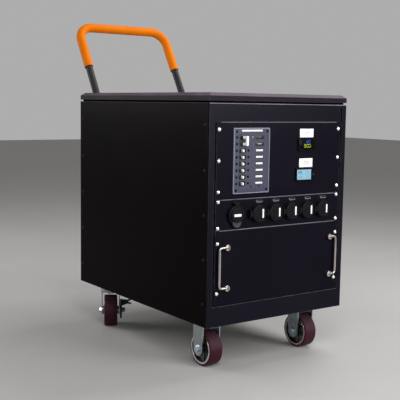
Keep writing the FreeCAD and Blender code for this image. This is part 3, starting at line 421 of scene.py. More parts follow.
# ---------------------------------------------------------------- numbers and marks
# A segment's u over the digit's width, its v over half of the height, and whether it stands upright.
SEGMENTS = {"a": (0.0, 1.0, 0), "b": (0.5, 0.5, 1), "c": (0.5, -0.5, 1), "d": (0.0, -1.0, 0),
            "e": (-0.5, -0.5, 1), "f": (-0.5, 0.5, 1), "g": (0.0, 0.0, 0)}
DIGITS = {"0": "abcdef", "1": "bc", "2": "abdeg", "3": "abcdg", "4": "bcfg", "5": "acdfg",
          "6": "acdefg", "7": "abc", "8": "abcdefg", "9": "abcdfg"}


def segment_digits(text: str, height: float, w: float, thickness: float = 0.15,
                   breadth: float = 0.56) -> Form:
    """Seven-segment number centred on the origin.

    Args:
        text: Digits and points.
        height: Height of a digit.
        w: Where the back of the segments lies.
        thickness: Thickness of the segments.
        breadth: A digit's width over its height.

    Returns:
        The number.
    """
    width, bar = breadth * height, 0.13 * height
    forms: list[Form] = []
    cursor = 0.0
    for character in text:
        if character == ".":
            dot = soft_slab(bar, bar, 0.1, w, w + thickness, 0.05)
            forms.append(dot.moved(cursor - 0.3 * bar, -height / 2))
            cursor += bar
            continue
        for name in DIGITS[character]:
            across, up, upright = SEGMENTS[name]
            long, short = (height / 2 - 0.75 * bar, bar) if upright else (width - 0.75 * bar, bar)
            size = (short, long) if upright else (long, short)
            piece = slab(size[0], size[1], bar / 2, [(0, w), (0.1 * bar, w + thickness)], steps=1)
            forms.append(piece.moved(cursor + width / 2 + across * width, up * height / 2))
        cursor += width + 2.1 * bar
    return together(forms).moved(-(cursor - 2.1 * bar) / 2)


def printed_number(text: str, height: float, w: float, thickness: float = 0.08) -> Form:
    """Plain printed number centred on the origin, as a thin raised mesh.

    Args:
        text: The number.
        height: Height of a digit.
        w: Where its back lies.
        thickness: Thickness of the ink.

    Returns:
        The number.
    """
    curve = bpy.data.curves.new("number", "FONT")
    curve.body, curve.size, curve.extrude = text, height * MM * 1.4, thickness * MM / 2
    curve.align_x, curve.align_y, curve.resolution_u = "CENTER", "CENTER", 3
    holder = bpy.data.objects.new("number", curve)
    mesh = bpy.data.meshes.new_from_object(holder)
    points = np.empty(len(mesh.vertices) * 3)
    mesh.vertices.foreach_get("co", points)
    faces = [np.array([tuple(face.vertices)]) for face in mesh.polygons]
    bpy.data.objects.remove(holder)
    bpy.data.meshes.remove(mesh)
    bpy.data.curves.remove(curve)
    return Form(points.reshape(-1, 3) / MM, tuple(faces)).moved(w=w + thickness / 2)


def wave_sign(reach: float, swing: float, radius: float) -> Form:
    """One sine wave as a thin bar: (reach * a / pi, swing * sin a) for a from -pi to pi.

    Args:
        reach: Half of the wave's length.
        swing: Its height over the middle line.
        radius: Radius of the bar.

    Returns:
        The wave, centred on the origin.
    """
    turn = np.linspace(-math.pi, math.pi, 25)
    path = np.stack([reach * turn / math.pi, swing * np.sin(turn), np.zeros_like(turn)], axis=-1)
    return sweep(path, np.tile([0.0, 0.0, 1.0], (len(path), 1)), np.full(len(path), radius), 8)


def cell_sign(radius: float, line: float, low: float, high: float) -> Form:
    """Outline of a battery cell, drawn with the given line from w = low to w = high."""
    return border(17.0, 9.0, radius, [(0, low), (0, high), (line, high), (line, low)])


# ---------------------------------------------------------------- shader graphs and shared effects
Socket = bpy.types.NodeSocket


class Graph:
    """Adds and links the nodes of one node tree."""

    def __init__(self, tree: bpy.types.NodeTree) -> None:
        """Works on the given tree."""
        self.tree = tree

    def add(self, kind: str, inputs: dict | None = None, **settings: object) -> bpy.types.Node:
        """New node.

        Args:
            kind: Blender's name of the node type.
            inputs: Values or feeding sockets, by the input's name or number.
            settings: Properties of the node.

        Returns:
            The node.
        """
        node = self.tree.nodes.new(kind)
        for name, value in settings.items():
            setattr(node, name, value)
        for name, value in (inputs or {}).items():
            if isinstance(value, Socket):
                self.tree.links.new(value, node.inputs[name])
            else:
                node.inputs[name].default_value = value
        return node

    def math(self, operation: str, first: object, second: object = 0.0, clamp: bool = False) -> Socket:
        """Result of a maths node."""
        node = self.add("ShaderNodeMath", {0: first, 1: second}, operation=operation, use_clamp=clamp)
        return node.outputs[0]

    def spread(self, value: Socket, low: float, high: float, to_low: float = 0.0,
               to_high: float = 1.0) -> Socket:
        """Value carried from the range low..high to to_low..to_high, and held at its ends."""
        return self.add("ShaderNodeMapRange", {"Value": value, "From Min": low, "From Max": high,
                                               "To Min": to_low, "To Max": to_high}).outputs["Result"]

    def mixed(self, share: Socket, first: object, second: object) -> Socket:
        """Colour between two colours."""
        return self.add("ShaderNodeMix", {0: share, 6: first, 7: second}, data_type="RGBA").outputs[2]

    def place(self) -> Socket:
        """Object coordinates, in metres."""
        return self.add("ShaderNodeTexCoord").outputs["Object"]

    def noise(self, place: Socket, scale: object, detail: float = 3.0, roughness: float = 0.55) -> Socket:
        """Noise from 0 to 1, with scale features to a metre."""
        return self.add("ShaderNodeTexNoise", {"Vector": place, "Scale": scale, "Detail": detail,
                                               "Roughness": roughness}).outputs["Fac"]

    def give(self, end: bpy.types.Node, **values: Socket) -> bpy.types.NodeTree:
        """Links values to a group's outputs.

        Args:
            end: The group's output node.
            values: The socket that feeds each output, by name.

        Returns:
            The group's tree.
        """
        for name, value in values.items():
            self.tree.links.new(value, end.inputs[name])
        return self.tree


class Effect(Enum):
    """Shader groups that more than one finish uses."""
    CLOUDS = "clouds"
    EDGE_WEAR = "edge wear"
    DUST = "dust"
    GRAIN = "grain"
    STREAKS = "streaks"

    def node_in(self, graph: Graph, inputs: dict) -> bpy.types.Node:
        """This effect's group placed in a material, with its own values."""
        tree = bpy.data.node_groups.get(self.value) or BUILDERS[self](self.value)
        return graph.add("ShaderNodeGroup", inputs, node_tree=tree)


def new_group(name: str, inputs: dict[str, str],
              outputs: dict[str, str]) -> tuple[Graph, dict, bpy.types.Node]:
    """Empty shader group with named sockets.

    Args:
        name: Name of the group.
        inputs: Socket type of each input, by name.
        outputs: Socket type of each output, by name.

    Returns:
        The group's graph, its input sockets by name, and its output node.
    """
    tree = bpy.data.node_groups.new(name, "ShaderNodeTree")
    for socket, kind in inputs.items():
        tree.interface.new_socket(socket, in_out="INPUT", socket_type="NodeSocket" + kind)
    for socket, kind in outputs.items():
        tree.interface.new_socket(socket, in_out="OUTPUT", socket_type="NodeSocket" + kind)
    graph = Graph(tree)
    entry = graph.add("NodeGroupInput")
    return graph, {socket: entry.outputs[socket] for socket in inputs}, graph.add("NodeGroupOutput")


COLOUR_AND_MASK = {"Colour": "Color", "Mask": "Float"}
EDGE_REACH = 1.2


def clouds_group(name: str) -> bpy.types.NodeTree:
    """Cloudy stray of a colour: colour * (1 + Amount * (2 * noise - 1)), with two sizes of cloud.

    Args:
        name: Name of the group.

    Returns:
        The group's tree.
    """
    graph, given, end = new_group(name, {"Colour": "Color", "Amount": "Float", "Scale": "Float"},
                                  COLOUR_AND_MASK)
    place = graph.place()
    large = graph.noise(place, given["Scale"], 4.0)
    small = graph.noise(place, graph.math("MULTIPLY", given["Scale"], 7.3), 2.0)
    both = graph.math("ADD", large, graph.math("MULTIPLY", small, 0.35))
    mask = graph.spread(both, 0.38, 0.98, -1.0, 1.0)
    factor = graph.math("ADD", graph.math("MULTIPLY", mask, given["Amount"]), 1.0)
    scaled = graph.add("ShaderNodeVectorMath", {0: given["Colour"], "Scale": factor}, operation="SCALE")
    return graph.give(end, Colour=scaled.outputs[0], Mask=mask)


def edge_wear_group(name: str) -> bpy.types.NodeTree:
    """Rubbed edges, and painted highlights on lit edges: the mask is how far a rounded normal turns from
    the true one, broken up by noise.

    Args:
        name: Name of the group.

    Returns:
        The group's tree.
    """
    graph, given, end = new_group(name, {"Colour": "Color", "Worn": "Color", "Amount": "Float"},
                                  COLOUR_AND_MASK)
    rounded = graph.add("ShaderNodeBevel", {"Radius": EDGE_REACH * MM}, samples=4).outputs[0]
    true_normal = graph.add("ShaderNodeNewGeometry").outputs["Normal"]
    agreement = graph.add("ShaderNodeVectorMath", {0: rounded, 1: true_normal}, operation="DOT_PRODUCT")
    edge = graph.spread(agreement.outputs["Value"], 0.985, 0.90)
    patches = graph.spread(graph.noise(graph.place(), 55.0, 5.0, 0.65), 0.42, 0.66, 0.15, 1.0)
    mask = graph.math("MULTIPLY", graph.math("MULTIPLY", edge, patches), given["Amount"], clamp=True)
    return graph.give(end, Colour=graph.mixed(mask, given["Colour"], given["Worn"]), Mask=mask)


def dust_group(name: str) -> bpy.types.NodeTree:
    """Lighter colour on faces that look up: a dusty film on flat tops, and a painted highlight along the
    rounded top folds and edges of the black sheets and the lid. The mask is the normal's height, broken up
    by noise.

    Args:
        name: Name of the group.

    Returns:
        The group's tree.
    """
    graph, given, end = new_group(name, {"Colour": "Color", "Dust": "Color", "Amount": "Float"},
                                  COLOUR_AND_MASK)
    normal = graph.add("ShaderNodeNewGeometry").outputs["Normal"]
    up = graph.add("ShaderNodeSeparateXYZ", {0: normal}).outputs["Z"]
    lying = graph.spread(up, 0.05, 0.6)
    patches = graph.spread(graph.noise(graph.place(), 14.0, 6.0, 0.6), 0.35, 0.75, 0.55, 1.0)
    mask = graph.math("MULTIPLY", graph.math("MULTIPLY", lying, patches), given["Amount"], clamp=True)
    return graph.give(end, Colour=graph.mixed(mask, given["Colour"], given["Dust"]), Mask=mask)


def grain_group(name: str) -> bpy.types.NodeTree:
    """Fine surface relief from 0 to 1: noise with Scale bumps to a metre over a broader swell.

    Args:
        name: Name of the group.

    Returns:
        The group's tree.
    """
    graph, given, end = new_group(name, {"Scale": "Float"}, {"Height": "Float"})
    place = graph.place()
    fine = graph.noise(place, given["Scale"], 2.0, 0.4)
    broad = graph.noise(place, graph.math("MULTIPLY", given["Scale"], 0.23), 1.0)
    height = graph.math("ADD", graph.math("MULTIPLY", fine, 0.7), graph.math("MULTIPLY", broad, 0.3))
    return graph.give(end, Height=height)


def streaks_group(name: str) -> bpy.types.NodeTree:
    """Streaks from 0 to 1 along one direction: noise on coordinates multiplied by Across, axis by axis.

    Args:
        name: Name of the group.

    Returns:
        The group's tree.
    """
    graph, given, end = new_group(name, {"Across": "Vector"}, {"Value": "Float"})
    stretched = graph.add("ShaderNodeVectorMath", {0: graph.place(), 1: given["Across"]},
                          operation="MULTIPLY")
    return graph.give(end, Value=graph.noise(stretched.outputs[0], 1.0, 3.0, 0.6))


BUILDERS = {Effect.CLOUDS: clouds_group, Effect.EDGE_WEAR: edge_wear_group, Effect.DUST: dust_group,
            Effect.GRAIN: grain_group, Effect.STREAKS: streaks_group}


# ---------------------------------------------------------------- finishes
CLOUDS_TO_ROUGHNESS = 0.06
DUST_AND_HIGHLIGHT_TO_ROUGHNESS = 0.5
COAT_ROUGHNESS = 0.08


@dataclass(frozen=True)
class Finish:
    """A surface finish: its colour, its gloss and how strongly each shared effect shows on it.

    Colours are linear. specular, tint and ior set the strength, the colour and the spread over angle of
    the plain gloss. clouds is the share by which the colour strays; grain is a relief in millimetres;
    streaks is the share by which roughness strays along `along`, features to a metre on each axis.
    """
    name: str
    colour: Colour
    roughness: float
    metallic: float = 0.0
    specular: float = 0.5
    tint: Colour = (1.0, 1.0, 1.0)
    ior: float = 1.5
    clouds: float = 0.08
    cloud_scale: float = 6.0
    grain: float = 0.0
    grain_scale: float = 700.0
    # Edge colour: rubbed edges, and painted highlights on lit edges.
    worn: Colour = (0.30, 0.30, 0.31)
    wear: float = 0.0
    # Up-facing colour: a dusty film, and on the black sheets and lid a painted highlight along rounded top
    # folds.
    dust: float = 0.0
    dust_colour: Colour = (0.34, 0.31, 0.28)
    streaks: float = 0.0
    along: Triple = (30.0, 30.0, 900.0)
    coat: float = 0.0
    glow: float = 0.0

    def material(self) -> bpy.types.Material:
        """The finish's material, built the first time that it is asked for."""
        return bpy.data.materials.get(self.name) or self.build()

    def build(self) -> bpy.types.Material:
        """Puts the effects on the colour, then sets the gloss, the glow and the grain's bump.

        Returns:
            The new material.
        """
        material = bpy.data.materials.new(self.name)
        material.use_nodes = True
        graph = Graph(material.node_tree)
        shader = material.node_tree.nodes["Principled BSDF"]
        colour, mask = self.coloured(graph)
        self.set_gloss(graph, shader, mask)
        link = graph.tree.links.new
        link(colour, shader.inputs["Base Color"])
        if self.glow:
            link(colour, shader.inputs["Emission Color"])
            shader.inputs["Emission Strength"].default_value = self.glow
        if self.grain:
            relief = Effect.GRAIN.node_in(graph, {"Scale": self.grain_scale}).outputs["Height"]
            bump = graph.add("ShaderNodeBump", {"Height": relief, "Distance": self.grain * MM,
                                                "Strength": 1.0})
            link(bump.outputs["Normal"], shader.inputs["Normal"])
        return material

    def coloured(self, graph: Graph) -> tuple[Socket, Socket]:
        """Adds clouds, rubbed edges with painted edge highlights, and the up-facing colour (a dusty film,
        and painted highlights on rounded top folds) to the colour.

        Args:
            graph: The material's graph.

        Returns:
            The colour, and the mask that strays the roughness.
        """
        node = Effect.CLOUDS.node_in(graph, {"Colour": (*self.colour, 1), "Amount": self.clouds,
                                             "Scale": self.cloud_scale})
        mask = graph.math("MULTIPLY", node.outputs["Mask"], CLOUDS_TO_ROUGHNESS)
        # The edge colour is partly rubbing and partly a painted highlight on lit edges.
        if self.wear:
            node = Effect.EDGE_WEAR.node_in(graph, {"Colour": node.outputs["Colour"],
                                                    "Worn": (*self.worn, 1), "Amount": self.wear})
        # Up-facing colour: a dusty film, and a painted highlight on rounded top folds where the finish
        # asks for it.
        if self.dust:
            node = Effect.DUST.node_in(graph, {"Colour": node.outputs["Colour"],
                                               "Dust": (*self.dust_colour, 1), "Amount": self.dust})
            dust_and_highlight_roughness = graph.math("MULTIPLY", node.outputs["Mask"], DUST_AND_HIGHLIGHT_TO_ROUGHNESS)
            mask = graph.math("ADD", mask, dust_and_highlight_roughness)
        return node.outputs["Colour"], mask

    def set_gloss(self, graph: Graph, shader: bpy.types.Node, mask: Socket) -> None:
        """Sets constant gloss values on the shader's own sockets, and a roughness that strays.

        Args:
            graph: The material's graph.
            shader: Its shader.
            mask: What strays the roughness, besides the streaks.
        """
        if self.streaks:
            lines = Effect.STREAKS.node_in(graph, {"Across": self.along}).outputs["Value"]
            mask = graph.math("ADD", mask, graph.spread(lines, 0.3, 0.7, -self.streaks, self.streaks))
        rough = graph.math("ADD", mask, self.roughness, clamp=True)
        graph.tree.links.new(rough, shader.inputs["Roughness"])
        for socket, value in (("Metallic", self.metallic), ("Specular IOR Level", self.specular),
                              ("Coat Weight", self.coat), ("Coat Roughness", COAT_ROUGHNESS),
                              ("Specular Tint", (*self.tint, 1)), ("IOR", self.ior)):
            shader.inputs[socket].default_value = value


# The casing's black in four colours: SIDE_BLACK (sides, back and floor pan) is darker and warmer as
# painted shade, FRONT_BLACK and PANEL_BLACK are lighter and bluer as painted light, and LID_BLACK is
# lighter and plum-tinted as a painted highlight. On each, the up-facing colour is partly a dusty film and
# partly a painted highlight along rounded top folds, and the edge colour is partly rubbing and partly a
# painted highlight on lit edges.
SIDE_BLACK = Finish("black powder coat on the casing", (0.0026, 0.0017, 0.0022), 0.40, specular=0.24,
                    ior=1.12, tint=(1.0, 0.80, 0.96), clouds=0.12, grain=0.02, grain_scale=620,
                    worn=(0.10, 0.09, 0.09), wear=0.6, dust=0.9, dust_colour=(0.11, 0.095, 0.105))
FRONT_BLACK = Finish("black powder coat on the front frame", (0.0050, 0.0043, 0.0086), 0.40,
                     specular=0.55, ior=1.15, tint=(0.90, 0.84, 1.0), clouds=0.12, grain=0.02,
                     grain_scale=640, worn=(0.20, 0.19, 0.23), wear=0.8, dust=0.9,
                     dust_colour=(0.34, 0.32, 0.38))
PANEL_BLACK = Finish("black powder coat on the rack panels", (0.0036, 0.0032, 0.0066), 0.38,
                     specular=0.40, ior=1.15, tint=(0.90, 0.84, 1.0), clouds=0.12, cloud_scale=5,
                     grain=0.015, worn=(0.24, 0.23, 0.28), wear=0.8, dust=0.9,
                     dust_colour=(0.22, 0.21, 0.25))
LID_BLACK = Finish("plum-black paint on the lid", (0.011, 0.0085, 0.0140), 0.46, specular=0.08,
                   tint=(1.0, 0.88, 1.0), clouds=0.06, grain=0.02, grain_scale=600,
                   worn=(0.16, 0.14, 0.17), wear=0.8, dust=0.6, dust_colour=(0.20, 0.16, 0.20))
TUBE_BLACK = Finish("black paint on the handle tube", (0.020, 0.018, 0.022), 0.42, specular=0.12,
                    clouds=0.12, grain=0.015, grain_scale=800, streaks=0.05, dust=0.05)
# Also the colour of the corner strips, which paint the shadow in the gaps beside the front frame.
SEAL_AND_SHADOW_BLACK = Finish("black foam seal", (0.0012, 0.0012, 0.0013), 0.85, specular=0.03, clouds=0.2,
                    cloud_scale=60, grain=0.15, grain_scale=1400)
ORANGE_FOAM = Finish("orange foam of the grip", (0.71, 0.165, 0.0006), 0.48, specular=0.06, clouds=0.10,
                     cloud_scale=22, grain=0.10, grain_scale=900)
FOAM_LINING = Finish("dark lining at the grip's ends", (0.012, 0.011, 0.011), 0.8, specular=0.2,
                     clouds=0.2, cloud_scale=80, grain=0.1, grain_scale=1500)
# Its bright edge colour is partly rubbed plating and partly a painted highlight on the forks' lit edges.
ZINC = Finish("bright zinc plate", (0.33, 0.36, 0.365), 0.34, metallic=1.0, clouds=0.22, cloud_scale=45,
              grain=0.01, grain_scale=400, worn=(0.85, 0.86, 0.88), wear=1.0, dust=0.22, streaks=0.16,
              along=(300, 300, 30))
BRIGHT_ZINC = Finish("blue-white zinc on nuts and bolts", (0.52, 0.60, 0.66), 0.24, metallic=1.0,
                     clouds=0.15, cloud_scale=120, worn=(0.9, 0.92, 0.95), wear=0.4, dust=0.08)
NICKEL = Finish("bright nickel on the rack screws", (0.86, 0.86, 0.86), 0.22, metallic=1.0,
                cloud_scale=200, worn=(0.95, 0.95, 0.95), wear=0.3, streaks=0.05)
SATIN_CHROME = Finish("satin chrome of the pull handles", (0.50, 0.45, 0.43), 0.24, metallic=1.0,
                      clouds=0.06, cloud_scale=60, streaks=0.06, along=(400, 400, 40), dust=0.06)
BLACK_OXIDE = Finish("black oxide on small screws and pedals", (0.005, 0.005, 0.0055), 0.42,
                     specular=0.2, clouds=0.2, cloud_scale=90, worn=(0.12, 0.12, 0.12), wear=0.3,
                     dust=0.03)
CAST_CORE = Finish("cast wheel centre", (0.15, 0.15, 0.16), 0.40, metallic=1.0, clouds=0.30,
                   cloud_scale=60, grain=0.06, grain_scale=500, worn=(0.66, 0.66, 0.68), wear=0.7,
                   dust=0.10)
RIM_METAL = Finish("turned edge of the wheel rim", (0.78, 0.76, 0.75), 0.20, metallic=1.0, clouds=0.06,
                   cloud_scale=80, streaks=0.08, along=(60, 900, 900))
TREAD = Finish("maroon urethane tread", (0.040, 0.0070, 0.0165), 0.50, specular=0.12, clouds=0.28,
               cloud_scale=26, grain=0.04, grain_scale=500, streaks=0.12, along=(500, 30, 30), dust=0.35,
               dust_colour=(0.14, 0.092, 0.112))
TREAD_SIDE = Finish("clean side wall of the tread", (0.11, 0.006, 0.016), 0.30, clouds=0.12,
                    cloud_scale=40, grain=0.02, grain_scale=600)
BREAKER_FACE = Finish("blue-grey moulding of the breaker plate", (0.046, 0.048, 0.080), 0.55,
                      specular=0.28, clouds=0.34, cloud_scale=230, grain=0.10, grain_scale=900)
BREAKER_RIM = Finish("pale rim of the breaker plate", (0.20, 0.21, 0.28), 0.38, cloud_scale=60,
                     grain=0.03, grain_scale=1100, worn=(0.5, 0.52, 0.6), wear=0.5)
BLACK_PLASTIC = Finish("black moulded plastic", (0.006, 0.006, 0.007), 0.40, specular=0.35, clouds=0.15,
                       cloud_scale=50, grain=0.03, grain_scale=900, dust=0.05)
SOCKET_BLACK = Finish("fine-textured black socket moulding", (0.0032, 0.0030, 0.0048), 0.46,
                      specular=0.09, clouds=0.60, cloud_scale=160, grain=0.12, grain_scale=900,
                      worn=(0.04, 0.04, 0.05), wear=0.5)
TAB_GREY = Finish("lighter grey of the thumb tab", (0.030, 0.029, 0.042), 0.50, specular=0.30,
                  clouds=0.25, cloud_scale=160, grain=0.10, grain_scale=900)
GLOSS_BLACK = Finish("gloss black meter case", (0.002, 0.002, 0.003), 0.28, specular=0.07, clouds=0.10,
                     cloud_scale=50, worn=(0.05, 0.05, 0.06), wear=0.5, grain=0.01, grain_scale=900)
SMOKED_WINDOW = Finish("smoked meter window", (0.0012, 0.0012, 0.0022), 0.24, specular=0.06,
                       clouds=0.3, cloud_scale=30)
WHITE_LEVER = Finish("white moulded lever", (0.92, 0.92, 0.90), 0.30, clouds=0.03, cloud_scale=90)
SCREW_BLACK = Finish("dull black of small screws and rack rails", (0.0012, 0.0012, 0.0014), 0.60,
                     specular=0.05, clouds=0.2, cloud_scale=90)
LABEL_WHITE = Finish("white label film", (0.82, 0.82, 0.83), 0.36, specular=0.45, clouds=0.04,
                     cloud_scale=70, grain=0.01, grain_scale=600)
MARKER_DARK = Finish("dark marker strip", (0.007, 0.006, 0.010), 0.40, specular=0.25, clouds=0.20,
                     cloud_scale=90, worn=(0.12, 0.11, 0.13), wear=0.6)
MARKER_EDGE = Finish("pale edge of a marker strip", (0.16, 0.155, 0.18), 0.42, specular=0.4,
                     clouds=0.35, cloud_scale=260)
INK = Finish("black label ink", (0.02, 0.02, 0.022), 0.5, specular=0.4, clouds=0.15, cloud_scale=200)
GREY_INK = Finish("grey ink of the markings", (0.30, 0.30, 0.35), 0.5, specular=0.4, clouds=0.12,
                  cloud_scale=200)
LCD_FACE = Finish("lit liquid-crystal face", (0.20, 0.37, 0.47), 0.30, specular=0.2, cloud_scale=60,
                  glow=0.16)
LCD_INK = Finish("dark liquid-crystal marks", (0.07, 0.19, 0.29), 0.4, specular=0.3, clouds=0.06,
                 cloud_scale=60)
BLUE_DIGITS = Finish("blue lit digits", (0.008, 0.085, 0.52), 0.4, clouds=0.35, cloud_scale=200,
                     glow=0.6)
GREEN_DIGITS = Finish("yellow-green lit digits", (0.36, 0.50, 0.01), 0.4, clouds=0.35, cloud_scale=200,
                      glow=0.5)
LAMP_GREEN = Finish("lit yellow-green lamp", (0.20, 0.23, 0.07), 0.2, clouds=0.1, cloud_scale=90,
                    glow=0.25)
LAMP_RED = Finish("dim red lamp", (0.16, 0.02, 0.03), 0.2, clouds=0.1, cloud_scale=90, coat=0.4)
LAMP_DARK = Finish("unlit lamp", (0.020, 0.022, 0.026), 0.2, clouds=0.1, cloud_scale=90, coat=0.4)
BATTERY_GREY = Finish("dark grey battery case", (0.05, 0.05, 0.055), 0.5, clouds=0.1, grain=0.05)
INVERTER_GREY = Finish("grey inverter case", (0.25, 0.26, 0.28), 0.45, grain=0.04)
FLOOR_GREY = Finish("pale concrete floor", (0.44, 0.43, 0.42), 0.62, specular=0.3, clouds=0.06,
                    cloud_scale=1.3)


# ---------------------------------------------------------------- pieces
MERGE_DISTANCE = 0.004
FLAT_ANGLE = 0.6
BEVEL_ANGLE = 30
BEVEL_STEPS = 2


def finish_mesh(mesh: bpy.types.Mesh, crease: float, outward: bool = False, planar: bool = False) -> None:
    """Merges doubled points and smooths all but the edges sharper than crease.

    Args:
        mesh: Mesh to finish.
        crease: Angle above which an edge stays sharp, in degrees.
        outward: Whether its faces are turned outwards.
        planar: Whether triangles in one plane are joined to one face.
    """
    work = bmesh.new()
    work.from_mesh(mesh)
    bmesh.ops.remove_doubles(work, verts=work.verts, dist=MERGE_DISTANCE * MM)
    if planar:
        bmesh.ops.dissolve_limit(work, angle_limit=math.radians(FLAT_ANGLE), verts=work.verts,
                                 edges=work.edges)
    if outward:
        bmesh.ops.recalc_face_normals(work, faces=work.faces)
    work.to_mesh(mesh)
    work.free()
    mesh.shade_smooth()
    mesh.set_sharp_from_angle(angle=math.radians(crease))


def add_bevel(piece: bpy.types.Object, width: float) -> None:
    """Rounds every edge sharper than the bevel angle.

    Args:
        piece: Piece that gets the modifier.
        width: Width of the rounding.
    """
    bevel = piece.modifiers.new("eased edges", "BEVEL")
    bevel.width, bevel.segments = width * MM, BEVEL_STEPS
    bevel.limit_method, bevel.angle_limit = "ANGLE", math.radians(BEVEL_ANGLE)
    bevel.use_clamp_overlap = True


def attach(piece: bpy.types.Object, finish: Finish, body: str,
           stands_for: tuple[str, ...]) -> bpy.types.Object:
    """Puts a piece in the scene and reports it.

    Args:
        piece: The piece.
        finish: Its finish.
        body: Body that it rides on.
        stands_for: Frame nodes that it replaces; it takes the first one's material slot.

    Returns:
        The piece.
    """
    bpy.context.scene.collection.objects.link(piece)
    piece.data.materials.clear()
    piece.data.materials.append(finish.material())
    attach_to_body(piece, body)
    if stands_for:
        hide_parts(*stands_for)
    LOG.info("%-34s %6d faces, rides on %s, stands for %s", piece.name, len(piece.data.polygons), body,
             ", ".join(stands_for) or "no node")
    return piece


def make(name: str, form: Form, finish: Finish, body: str = "cabinet", stands_for: tuple[str, ...] = (),
         bevel: float = 0.0, wall: float = 0.0, crease: float = 38.0) -> bpy.types.Object:
    """New piece from a form in frame millimetres.

    Args:
        name: Name of the piece.
        form: Its surface, placed in the frame.
        finish: Its finish.
        body: Body that it rides on.
        stands_for: Frame nodes that it replaces.
        bevel: Edge rounding, if any.
        wall: Thickness given to an open sheet, on the side away from its faces' fronts.
        crease: Angle above which an edge stays sharp, in degrees.

    Returns:
        The piece.
    """
    mesh = bpy.data.meshes.new(name)
    faces = [face for block in form.blocks for face in block.tolist()]
    mesh.from_pydata((form.points * MM).tolist(), [], faces)
    finish_mesh(mesh, crease, outward=not wall)
    piece = bpy.data.objects.new(name, mesh)
    if wall:
        thick = piece.modifiers.new("sheet thickness", "SOLIDIFY")
        thick.thickness, thick.offset = wall * MM, -1.0
    if bevel:
        add_bevel(piece, bevel)
    return attach(piece, finish, body, stands_for)


def dress(node: str, finish: Finish, body: str = "cabinet", bevel: float = 0.0,
          crease: float = 32.0) -> bpy.types.Object:
    """Smoothed copy of a node's mesh with eased edges, standing for the node.

    Args:
        node: The node.
        finish: Finish of the copy.
        body: Body that it rides on.
        bevel: Edge rounding, if any.
        crease: Angle above which an edge stays sharp, in degrees.

    Returns:
        The piece.
    """
    mesh = frame["nodes"][node].data.copy()
    finish_mesh(mesh, crease, planar=True)
    piece = bpy.data.objects.new("dressed_" + node, mesh)
    if bevel:
        add_bevel(piece, bevel)
    return attach(piece, finish, body, (node,))


# ---------------------------------------------------------------- small hardware
def hex_socket_screw(radius: float, height: float, segments: int = 24) -> Form:
    """Low button head with a hexagon recess: a domed lathe profile whose last two rings are hexagons.

    Args:
        radius: Radius of the head.
        height: Its height.
        segments: Points round it.

    Returns:
        The head, standing on w = 0.
    """
    key = 0.46 * radius
    return lathe([(radius, 0), (radius, 0.25 * height), (0.86 * radius, 0.72 * height),
                  (0.62 * radius, height), (key, height, 6), (0.94 * key, 0.3 * height, 6)], segments)


def dome_screw(radius: float, height: float, flange: float = 0.9, segments: int = 36) -> Form:
    """Dome head with a hexagon recess; the dome's rings lie on a quarter ellipse.

    Args:
        radius: Radius of the head.
        height: Its height.
        flange: Thickness of the flange under the dome.
        segments: Points round it.

    Returns:
        The head, standing on w = 0.
    """
    rounds = [(radius * 0.93 * math.cos(a), flange + (height - flange) * math.sin(a))
              for a in np.linspace(0.08, 1.22, 7)]
    key = 0.30 * radius
    return lathe([(radius, 0), (radius, flange - 0.2), (radius * 0.96, flange), *rounds,
                  (key, 0.97 * height, 6), (0.9 * key, 0.55 * height, 6)], segments)


def washer(radius: float, hole: float, thickness: float) -> Form:
    """Flat ring with eased outer edges.

    Args:
        radius: Outer radius.
        hole: Radius of the hole.
        thickness: Its thickness.

    Returns:
        The ring, standing on w = 0.
    """
    ease = min(0.4, thickness / 3)
    return lathe([(hole, 0), (radius - ease, 0), (radius, ease), (radius, thickness - ease),
                  (radius - ease, thickness), (hole, thickness)], 36, closed=True)


# ---------------------------------------------------------------- cabinet
@dataclass
class Casing:
    """Sheet-steel casing: frame, sides, back, floor pan, lid, seal and what it carries inside."""
    edge: float = 0.5
    screw_radius: float = 4.5
    screw_height: float = 1.6
    screw_inset: float = 20.0
    screws_a_side: int = 5
    # Size and setting of the dark strips that paint the corner-gap shadow.
    strip_width: float = 4.8
    strip_depth: float = 1.4
    strip_sunk: float = 0.2
    strip_play: float = 0.5

    def build(self) -> None:
        """Dresses every sheet and what it carries inside, and adds the sides' screws and the dark strips
        that paint the shadow in the corner gaps.
        """
        dress("front_frame", FRONT_BLACK, bevel=self.edge)
        for node in ("left_side_panel", "right_side_panel", "rear_panel"):
            dress(node, SIDE_BLACK, bevel=self.edge)
        dress("top_cover", LID_BLACK, bevel=0.35)
        dress("base_pan", SIDE_BLACK)
        dress("cover_seal", SEAL_AND_SHADOW_BLACK, bevel=0.4)
        dress("equipment_shelves", ZINC)
        dress("battery_pack", BATTERY_GREY, bevel=3.0)
        dress("inverter", INVERTER_GREY, bevel=1.0)
        self.side_screws()
        self.corner_strips()

    def side_screws(self) -> None:
        """Button-head screws along each upright edge of both sides."""
        screws, front, back = (Extent.of(node) for node in ("black_screws", "front_frame", "rear_panel"))
        heights = np.linspace(screws.lo[2] + self.screw_radius, screws.hi[2] - self.screw_radius,
                              self.screws_a_side)
        depths = (front.lo[1] + self.screw_inset, back.hi[1] - self.screw_inset)
        wall = front.hi[0]
        places = [Axes.facing((side.value * wall, y, z), (side.value, 0, 0))
                  for side in Side for y in depths for z in heights]
        heads = copies(hex_socket_screw(self.screw_radius, self.screw_height), places)
        make("side_screw_heads", heads, BLACK_OXIDE, stands_for=("black_screws",))

    def corner_strips(self) -> None:
        """Dark strip that paints the shadow in the gap between the front frame and each side sheet."""
        for side in Side:
            panel = Extent.of(f"{side.word}_side_panel")
            wall = panel.lo[0] if side is Side.LEFT else panel.hi[0]
            place = (wall, panel.lo[1] - self.strip_width / 2, panel.centre[2])
            height = panel.size[2] - 2 * self.strip_play
            strip = soft_slab(self.strip_width, height, 0.3, -self.strip_depth, -self.strip_sunk, 0.1)
            make(f"{side.word}_side_panel_corner_strip",
                 strip.placed(Axes.facing(place, (side.value, 0, 0))), SEAL_AND_SHADOW_BLACK)


